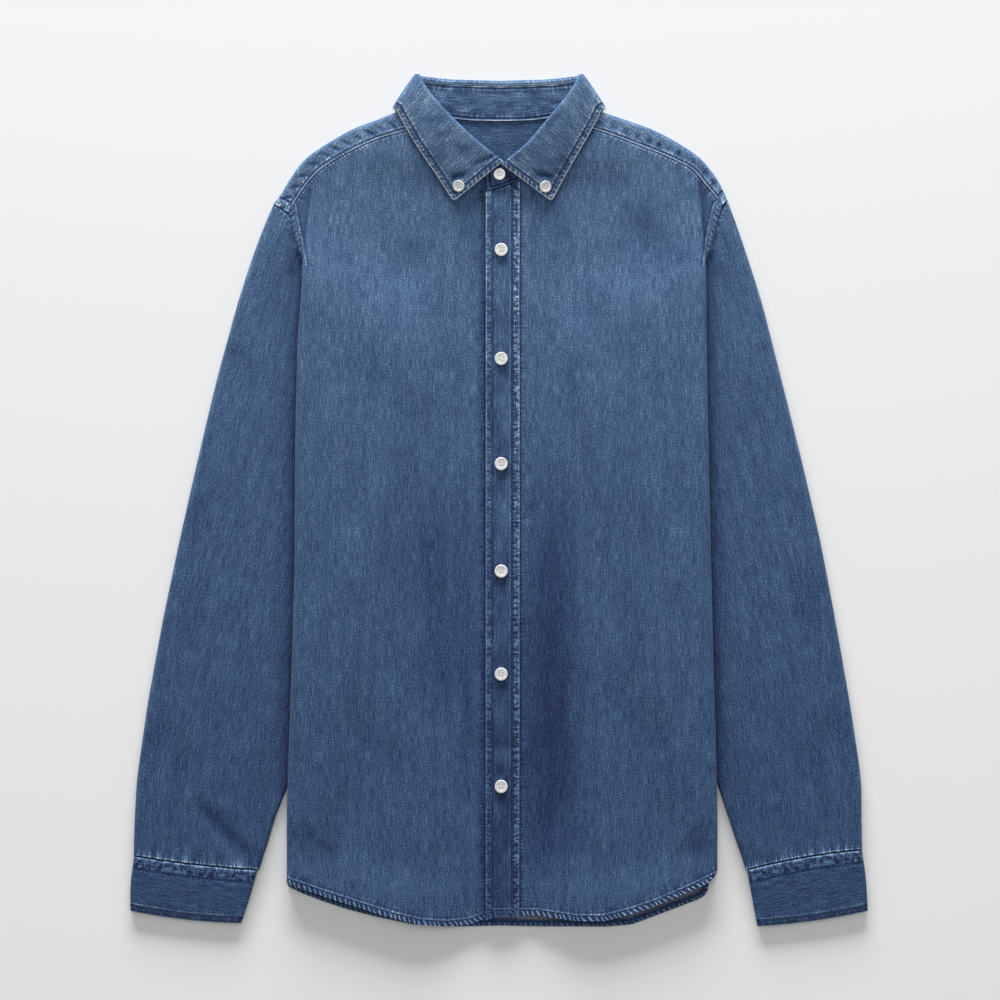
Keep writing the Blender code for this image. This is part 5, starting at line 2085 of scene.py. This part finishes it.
@dataclass
class CollarStand:
    """The collar stand: a band on the neck edge, its ends lapped under the neck button.

    Attributes:
        stations: Stations from one end round the neck to the other.
        across: Points across the band.
        wall: Thickness.
        lap: How much lower the right end lies, under the left one.
        back_reach: Half of the stations' run that lies behind the neck.
    """

    stations: int = 330
    across: int = 16
    wall: float = 1.5
    lap: float = 2.8
    back_reach: float = 10.5

    # The ends lap at the middle of the front: neck seam, top edge and height of the inner face.
    ENDS = {
        Side.LEFT: ((6, 289.6, 3, 309.5, 6.0), (-3, 286.6, -5.5, 308, 6.1), (-10.5, 284.6, -11.6, 303, 6.0)),
        Side.RIGHT: ((-14, 293.5, -12, 306, 3.4), (-2, 291.6, 0, 308.5, 3.4)),
    }

    @staticmethod
    def line(top: Sequence[float], foot: Sequence[float]) -> Array:
        """Three points from the leaf's seam to the neck seam."""
        return mix(np.array(top), np.array(foot), np.array((0.0, 0.5, 1.0))[:, None])

    def section(self, row: Array, side: Side, front: bool) -> Array:
        """Stand across one station, on its inner face: from the leaf's seam to the neck seam.

        Args:
            row: The station's row.
            side: The wearer's side.
            front: True in front of the neck.

        Returns:
            Three points.
        """
        leaf, sign = CollarLeaf(), side.value
        roll, neck = row[2:4], row[5:7]
        leaf_out = (row[:2] - roll) / np.linalg.norm(row[:2] - roll)
        top = roll + leaf_out * (leaf.below_roll + 1.3 * LAY.seam)
        foot = neck + (top - neck) / np.linalg.norm(top - neck) * (2.0 if front else 1.0) * LAY.seam
        high = row[4] - 2 * leaf.roll if front else 2 * leaf.roll
        level = float(LAY.lower(sign * neck[0], neck[1])) + LAY.doubled
        if front:
            near_end = 1.0 - float(ease((neck[1] - 294.0) / 25.0))
            level = float(LAY.upper(sign * neck[0], neck[1])) + LAY.gap - LAY.doubled
            high -= side.pick(self.lap, 0.0) * near_end
            level += side.pick(0.0, LAY.doubled) * near_end
        return self.line((sign * top[0], top[1], high), (sign * foot[0], foot[1], level))

    def build(self) -> ClothSheet:
        """Makes the stand.

        Returns:
            Its sheet.
        """
        right, left = ([self.line((sign * top_x, top_y, z), (sign * neck_x, neck_y, z))
                        for neck_x, neck_y, top_x, top_y, z in self.ENDS[side]]
                       for side, sign in ((Side.RIGHT, -1), (Side.LEFT, 1)))
        runs = np.array(right + list(collar_run(self.section)) + left)
        places = np.linspace(0.0, len(runs) - 1.0, self.stations)
        points = fine_grid(runs, places, np.linspace(0.0, 2.0, self.across))
        down = lengths_across(points)
        length = lengths_along(points[:, self.across // 2])[:, None] + np.zeros_like(down)
        sheet = ClothSheet("stand_band", points, (down, length), seed=81, wall=self.wall, lined=True)
        sheet.shade(-0.08)
        far = down.max(axis=1, keepdims=True) - down
        behind = np.broadcast_to(np.abs(places - places[-1] / 2.0)[:, None] < self.back_reach, down.shape)
        for rim, bright in ((down, 0.32), (far, 0.45)):
            for where, worn in ((behind, bright), (~behind, 0.1)):
                sheet.mark(Seam(points[:, 0, :2], 1.9, block=0.0, gather=0.9, worn=worn, lift=0.0, reach=9.0,
                                sewn=0.9), where, place=(rim, length))
        end = length.max() - length
        sheet.mark(Seam(points[-1, :, :2], 3.4, worn=0.3, lift=0.0, reach=9.0), end < 30.0, place=(end, down))
        # Painted shade of the leaf on the lapped ends.
        sheet.shade(-0.17 * (1.0 - ease((np.abs(points[..., 0]) - 14.0) / 12.0)) * ~behind)
        sheet.lower(-0.35 * sheet.uneven.at(length / 9.0, down / 6.0))
        sheet.shade(0.16 * sheet.uneven.at(length / 8.0, down / 4.0))
        sheet.shade(-0.10 * bell(far, 3.0, 5.0) * behind)
        return sheet


# ---------- buttons


class Buttons:
    """Four-hole buttons down the placket, at the neck and on the collar's points."""

    PLACKET_X = 1.9
    PLACKET_YS = (230.0, 130.0, 33.5, -65.0, -159.5, -262.6)
    SPINS = (8, -14, 3, 21, -6, 12)
    NECK = (0.4, 299.0, 8.0)
    RADIUS, SMALL_RADIUS = 6.0, 5.3
    RISE = 2.0
    HOLE_RADIUS, HOLE_PLACE = 0.6, 1.3
    LOOP, LOOP_HEIGHT = (0.42, 1.7, 0.3), 1.62      # half sizes of a loop of thread, and its height
    REST = 0.15                                     # from the cloth to the button's foot

    def __init__(self, finishes: Finishes) -> None:
        """Models the button and its thread once.

        Args:
            finishes: The shirt's materials.
        """
        self.button, self.thread = self.turned(), self.tied()
        for model, finish in ((self.button, finishes.resin), (self.thread, finishes.pale_thread)):
            model.data.materials.clear()
            model.data.materials.append(finish)

    def turned(self) -> Item:
        """Models one button: a disc with a rounded rim, a shallow dish and four holes.

        Returns:
            The button, at the origin.
        """
        bpy.ops.object.select_all(action="DESELECT")
        bpy.ops.mesh.primitive_cylinder_add(vertices=40, radius=self.RADIUS * MM, depth=self.RISE * MM,
                                            location=(0.0, 0.0, self.RISE * MM / 2.0))
        button = bpy.context.object
        bpy.ops.object.transform_apply(location=True)
        for face in button.data.polygons:
            face.select = face.normal.z > 0.9
        for items in (button.data.edges, button.data.vertices):
            items.foreach_set("select", [False] * len(items))
        bpy.ops.object.mode_set(mode="EDIT")
        bpy.ops.mesh.select_mode(type="FACE")
        bpy.ops.mesh.inset(thickness=1.25 * MM, depth=0.0)
        bpy.ops.mesh.inset(thickness=0.9 * MM, depth=-0.15 * MM)
        bpy.ops.object.mode_set(mode="OBJECT")
        bevel = button.modifiers.new("rim", "BEVEL")
        bevel.width, bevel.segments, bevel.limit_method = 0.42 * MM, 3, "ANGLE"
        bpy.ops.object.modifier_apply(modifier=bevel.name)
        for x, y in ((-1, -1), (-1, 1), (1, -1), (1, 1)):
            place = (x * self.HOLE_PLACE * MM, y * self.HOLE_PLACE * MM, self.RISE * MM / 2.0)
            bpy.ops.mesh.primitive_cylinder_add(vertices=12, radius=self.HOLE_RADIUS * MM,
                                                depth=self.RISE * 3.0 * MM, location=place)
            drill = bpy.context.object
            choose(button)
            hole = button.modifiers.new("hole", "BOOLEAN")
            hole.operation, hole.object, hole.solver = "DIFFERENCE", drill, "EXACT"
            bpy.ops.object.modifier_apply(modifier=hole.name)
            bpy.data.objects.remove(drill)
        bpy.ops.object.shade_smooth_by_angle(angle=math.radians(35))
        return button

    def tied(self) -> Item:
        """Models the two loops of thread between the holes.

        Returns:
            The thread, over a button at the origin.
        """
        bars = []
        for side in (-1, 1):
            bpy.ops.object.select_all(action="DESELECT")
            bpy.ops.mesh.primitive_uv_sphere_add(
                segments=10, ring_count=8, radius=1.0, scale=[size * MM for size in self.LOOP],
                location=(side * self.HOLE_PLACE * MM, 0.0, self.LOOP_HEIGHT * MM))
            bpy.ops.object.transform_apply(location=True, scale=True)
            bars.append(bpy.context.object)
        choose(*reversed(bars))
        bpy.ops.object.join()
        bpy.ops.object.shade_smooth()
        return bpy.context.object

    def fasten(self, node: str, spot: Sequence[float], radius: float, spin: float,
               normal: Vector = Vector((0.0, 0.0, 1.0))) -> None:
        """Sets one button and its thread in place.

        Args:
            node: The solid that it stands for.
            spot: Place on the cloth.
            radius: The button's radius.
            spin: Turn of its holes, in degrees.
            normal: Way that the cloth faces.
        """
        turn = normal.to_track_quat("Z", "Y").to_matrix() @ Matrix.Rotation(math.radians(spin), 3, "Z")
        place = Matrix.Translation((Vector(spot) + normal * self.REST) * MM)
        size = Matrix.Diagonal((radius / self.RADIUS, radius / self.RADIUS, 1.0, 1.0))
        for model, word, stands_for in ((self.button, "_resin", node), (self.thread, "_thread", None)):
            piece = bpy.data.objects.new(node + word, model.data.copy())
            piece.data.name = piece.name
            piece.data.transform(place @ turn.to_4x4() @ size)
            bpy.context.scene.collection.objects.link(piece)
            tie(piece, stands_for)

    def place(self) -> None:
        """Fastens all nine buttons and clears the models away."""
        around = np.array((-5.0, 0.0, 5.0))
        for number, (y, spin) in enumerate(zip(self.PLACKET_YS, self.SPINS), 1):
            high = float(np.max(LAY.upper(np.full(3, LAY.placket_middle), y + around)))
            spot = (self.PLACKET_X, y, high + LAY.gap + Placket.PROUD)
            self.fasten("button_%d" % number, spot, self.RADIUS, spin)
        self.fasten("button_neck", self.NECK, self.SMALL_RADIUS, 10.0)
        leaf = CollarLeaf()
        for side in Side:
            rows = catmull(np.array(CollarLeaf.FRONT_ROWS[side], float), np.array((0.0, 0.5)))
            one, other = ([Vector(spot) for spot in leaf.section(row, side, True)] for row in rows)
            spot = one[0].lerp(one[1], 0.85).lerp(other[0].lerp(other[1], 0.85), 0.6)
            normal = (one[1] - other[0]).cross(one[0] - other[1]).normalized()
            normal = normal if normal.z > 0 else -normal
            self.fasten("button_collar_" + side.word, spot, self.SMALL_RADIUS, 30.0 * side.value, normal)
        for model in (self.button, self.thread):
            bpy.data.objects.remove(model)


# ---------- studio


@dataclass(frozen=True)
class Lamp:
    """A soft rectangular light.

    Attributes:
        name: Its name.
        place: Where it stands, in metres.
        aim: Where it points.
        size: Width and length.
        power: In watts.
    """

    name: str
    place: tuple[float, float, float]
    aim: tuple[float, float, float]
    size: Spot
    power: float


@dataclass(frozen=True)
class Studio:
    """Pale paper floor, soft light from beyond the neck, and a camera straight above.

    Attributes:
        floor_size: Side of the floor, in metres.
        floor_drop: How far the paper lies below the shirt, in millimetres.
        camera_place: Camera's place, in metres.
        lens: Focal length in millimetres.
        sensor: Width of the sensor in millimetres.
        lamps: The lights.
        ambient: Strength of the even light from all round.
        air: Its colour.
    """

    floor_size: float = 24.0
    floor_drop: float = 0.3
    camera_place: tuple[float, float, float] = (0.00083, 0.00028, 3.0)
    lens: float = 117.4
    sensor: float = 36.0
    lamps: tuple[Lamp, ...] = (
        Lamp("key_light", (-0.3, 6.0, 1.08), (0.0, -0.15, 0.0), (4.4, 1.25), 1060.0),
        Lamp("overhead_light", (0.1, 0.7, 2.6), (0.0, 0.0, 0.0), (1.6, 1.6), 11.0),
    )
    ambient: float = 0.395
    air: str = "#F8F8F8"

    def build(self, finishes: Finishes) -> None:
        """Makes floor, lights and camera.

        Args:
            finishes: The shirt's materials.
        """
        scene = bpy.context.scene
        bpy.ops.object.select_all(action="DESELECT")
        bpy.ops.mesh.primitive_plane_add(size=self.floor_size, location=(0.0, 0.0, -self.floor_drop * MM))
        floor = bpy.context.object
        floor.name = "studio_floor"
        bpy.ops.object.transform_apply(location=True)
        floor.data.materials.append(finishes.paper)
        for lamp in self.lamps:
            light = bpy.data.lights.new(lamp.name, "AREA")
            light.shape, light.energy = "RECTANGLE", lamp.power
            light.size, light.size_y = lamp.size
            item = bpy.data.objects.new(lamp.name, light)
            item.location = lamp.place
            aim = Vector(lamp.aim) - Vector(lamp.place)
            item.rotation_euler = aim.to_track_quat("-Z", "Y").to_euler()
            scene.collection.objects.link(item)
        world = bpy.data.worlds.new("studio_air")
        world.use_nodes = True
        set_inputs(world.node_tree, world.node_tree.nodes["Background"],
                   {"Color": linear(self.air), "Strength": self.ambient})
        scene.world = world
        data = bpy.data.cameras.new("camera")
        data.sensor_width, data.lens = self.sensor, self.lens
        camera = bpy.data.objects.new("camera", data)
        camera.location = self.camera_place
        scene.collection.objects.link(camera)
        scene.camera = camera
        scene.view_settings.view_transform = "Standard"


# ---------- shirt


# Width and length of each flat cut and the share of that rectangle that it fills.
CUTS = {
    "back": ((390.0, 660.0), 0.93),
    "front": ((225.0, 740.0), 0.93),
    "placket": ((34.0, 680.0), 0.98),
    "yoke": ((420.0, 130.0), 0.7),
    "sleeve_right": ((385.0, 560.0), 0.74),
    "sleeve_left": ((375.0, 560.0), 0.74),
    "cuff": ((240.0, 50.0), 0.99),
    "collar": ((395.0, 56.0), 0.92),
    "collar_stand": ((370.0, 32.0), 0.85),
}

SLEEVE_CREASES = {
    Side.RIGHT: (
        Crease((-285, -271), (-222, -338), 6.4, 1.6), Crease((-300, 0), (-250, -60), 22, 0.6, 6),
        Crease((-262, 150), (-225, 90), 20, 0.5, -5), Crease((-194.5, 246), (-189, 180), 3.4, 0.7),
        Crease((-205, 250), (-200, 150), 6, 0.6, 2), Crease((-216, 240), (-214, 130), 7, 0.5, -2),
        Crease((-320, -200), (-275, -262), 16, 0.55, 4)),
    Side.LEFT: (
        Crease((255, 120), (228, 40), 20, 0.6, 5), Crease((206, 258), (211, 170), 5, 0.6, -2),
        Crease((217, 250), (224, 160), 7, 0.5, 2), Crease((305, -60), (268, -120), 20, 0.6, -6),
        Crease((318, -190), (270, -275), 18, 0.6, 5)),
}
FRONT_CREASES = {
    Side.RIGHT: (
        Crease((-150, 160), (-40, 60), 16, 0.5, 8), Crease((-120, -40), (-40, -120), 18, 0.45, -8),
        Crease((-160, -180), (-60, -260), 18, 0.45, 8), Crease((-40, 270), (-90, 190), 14, 0.5, 5)),
    Side.LEFT: (
        Crease((32, 0), (24, -22), 5, 0.8), Crease((60, 200), (150, 120), 18, 0.45, 8),
        Crease((70, 0), (160, -60), 20, 0.45, -8), Crease((80, -150), (165, -230), 18, 0.45, 8)),
}


class Shirt:
    """The whole shirt, piece by piece from the floor up."""

    BUTTONHOLE = Stitch(length=0.8, space=0.05, thick=0.9)
    HOLE_REACH = 8.4                # half the length of a buttonhole
    LEAF_SEWN = 3.7                 # how far along its rows the leaf's outer stitches show

    def __init__(self, finishes: Finishes) -> None:
        """Gets the finishes and the thread ready."""
        self.finishes = finishes
        self.stitcher = Stitcher(finishes)

    def made(self, *sheets: ClothSheet) -> Item:
        """Makes one walled object of a sheet, or of sheets that meet along shared points."""
        pieces = [sheet.to_object(self.finishes) for sheet in sheets]
        return thicken(joined(pieces) if len(pieces) > 1 else pieces[0], sheets[0].wall)

    def sewn(self, cloth: Item, *paths: Array) -> Item:
        """Sews rows on a piece along paths."""
        return self.stitcher.sew(cloth.name + "_stitches", cloth, paths)

    def sleeves(self) -> None:
        """Sleeves and cuffs, on the floor."""
        for side in Side:
            name = "sleeve_" + side.word
            settle(self.made(Sleeve(side, SLEEVE_CREASES[side]).build()), name, CUTS[name])
            cuff = self.made(Cuff(side).build())
            rows = [between(offset(Cuff.line(side, row), distance * side.value), 0.02, 0.98)
                    for row, distance in ((0, 2.3), (2, -5.2))]
            settle(cuff, "cuff_" + side.word, CUTS["cuff"], [self.sewn(cuff, *rows)])

    def back(self) -> None:
        """Back, with its hem turned up inside it."""
        panel = BackPanel()
        back, hem = self.made(panel.build()), self.made(panel.build_hem())
        tie(hem)
        stitches = self.sewn(hem, offset(resample(BACK_HEM[2:-1], 90), 5.0))
        settle(back, "back", CUTS["back"],
               [hem, stitches])

    def fronts(self) -> None:
        """Both fronts."""
        hem = offset(resample(FRONT_HEM, 160), 7.3)
        for side, inner_x, lap, start in ((Side.RIGHT, 14.0, ((-20.0, 289.6), (4.0, 289.6)), 13.5),
                                          (Side.LEFT, 15.0, ((14.0, 289.8),), 20.0)):
            front = self.made(FrontPanel(side, inner_x, lap, FRONT_CREASES[side]).build())
            out = side.value * hem[:, 0]
            armhole = offset(armhole_path(side), -6.2 * side.value)
            stitches = self.sewn(front, hem[(out > start) & (out < 189.0)], between(armhole, 0.03, 0.62))
            settle(front, "front_" + side.word, CUTS["front"], [stitches])

    def placket(self) -> None:
        """Placket, with its rows of stitches and its worked buttonholes."""
        placket = self.made(Placket().build())
        stitches = self.sewn(placket, *(np.linspace(*ends, 24) for ends in Placket.ROWS))
        holes = [np.linspace((Buttons.PLACKET_X + out, y - self.HOLE_REACH),
                             (Buttons.PLACKET_X + out, y + self.HOLE_REACH), 24)
                 for y in Buttons.PLACKET_YS for out in (-0.8, 0.8)]
        worked = self.stitcher.sew("placket_buttonholes", placket, holes, self.BUTTONHOLE)
        settle(placket, "placket", CUTS["placket"], [stitches, worked])

    def yoke(self) -> None:
        """Yoke, stitched along its front seams."""
        yoke = self.made(*Yoke().build())
        seams = ((mirrored(even_curve(YOKE_SEAM[side], 80), side), side.value) for side in Side)
        rows = [between(offset(seam, -1.7 * sign), 0.03, 0.97) for seam, sign in seams]
        settle(yoke, "yoke", CUTS["yoke"], [self.sewn(yoke, *rows)])

    def collar(self) -> None:
        """Stand, and leaf with stitches along its outer and front edges."""
        settle(self.made(CollarStand().build()), "collar_stand", CUTS["collar_stand"])
        leaf = self.made(CollarLeaf().build())
        rows = []
        for side in Side:
            half = catmull(np.array(CollarLeaf.FRONT_ROWS[side], float), np.linspace(0.0, self.LEAF_SEWN, 60))
            front = np.linspace(half[0, :2], half[0, 2:4], 24)
            rows += [between(offset(mirrored(half[:, :2], side), 5.4 * side.value), 0.06, 1.0),
                     between(offset(mirrored(front, side), -5.2 * side.value), 0.1, 0.9)]
        settle(leaf, "collar", CUTS["collar"], [self.sewn(leaf, *rows)])

    def build(self) -> None:
        """Builds every piece, in the order in which they lie."""
        for layer in (self.sleeves, self.back, self.fronts, self.placket, self.yoke, self.collar):
            layer()
        Buttons(self.finishes).place()


def main() -> None:
    """Builds the shirt and its studio."""
    logging.basicConfig(level=logging.INFO, format="%(message)s")
    finishes = Finishes.mixed()
    Studio().build(finishes)
    Shirt(finishes).build()


if __name__ == "__main__":
    main()
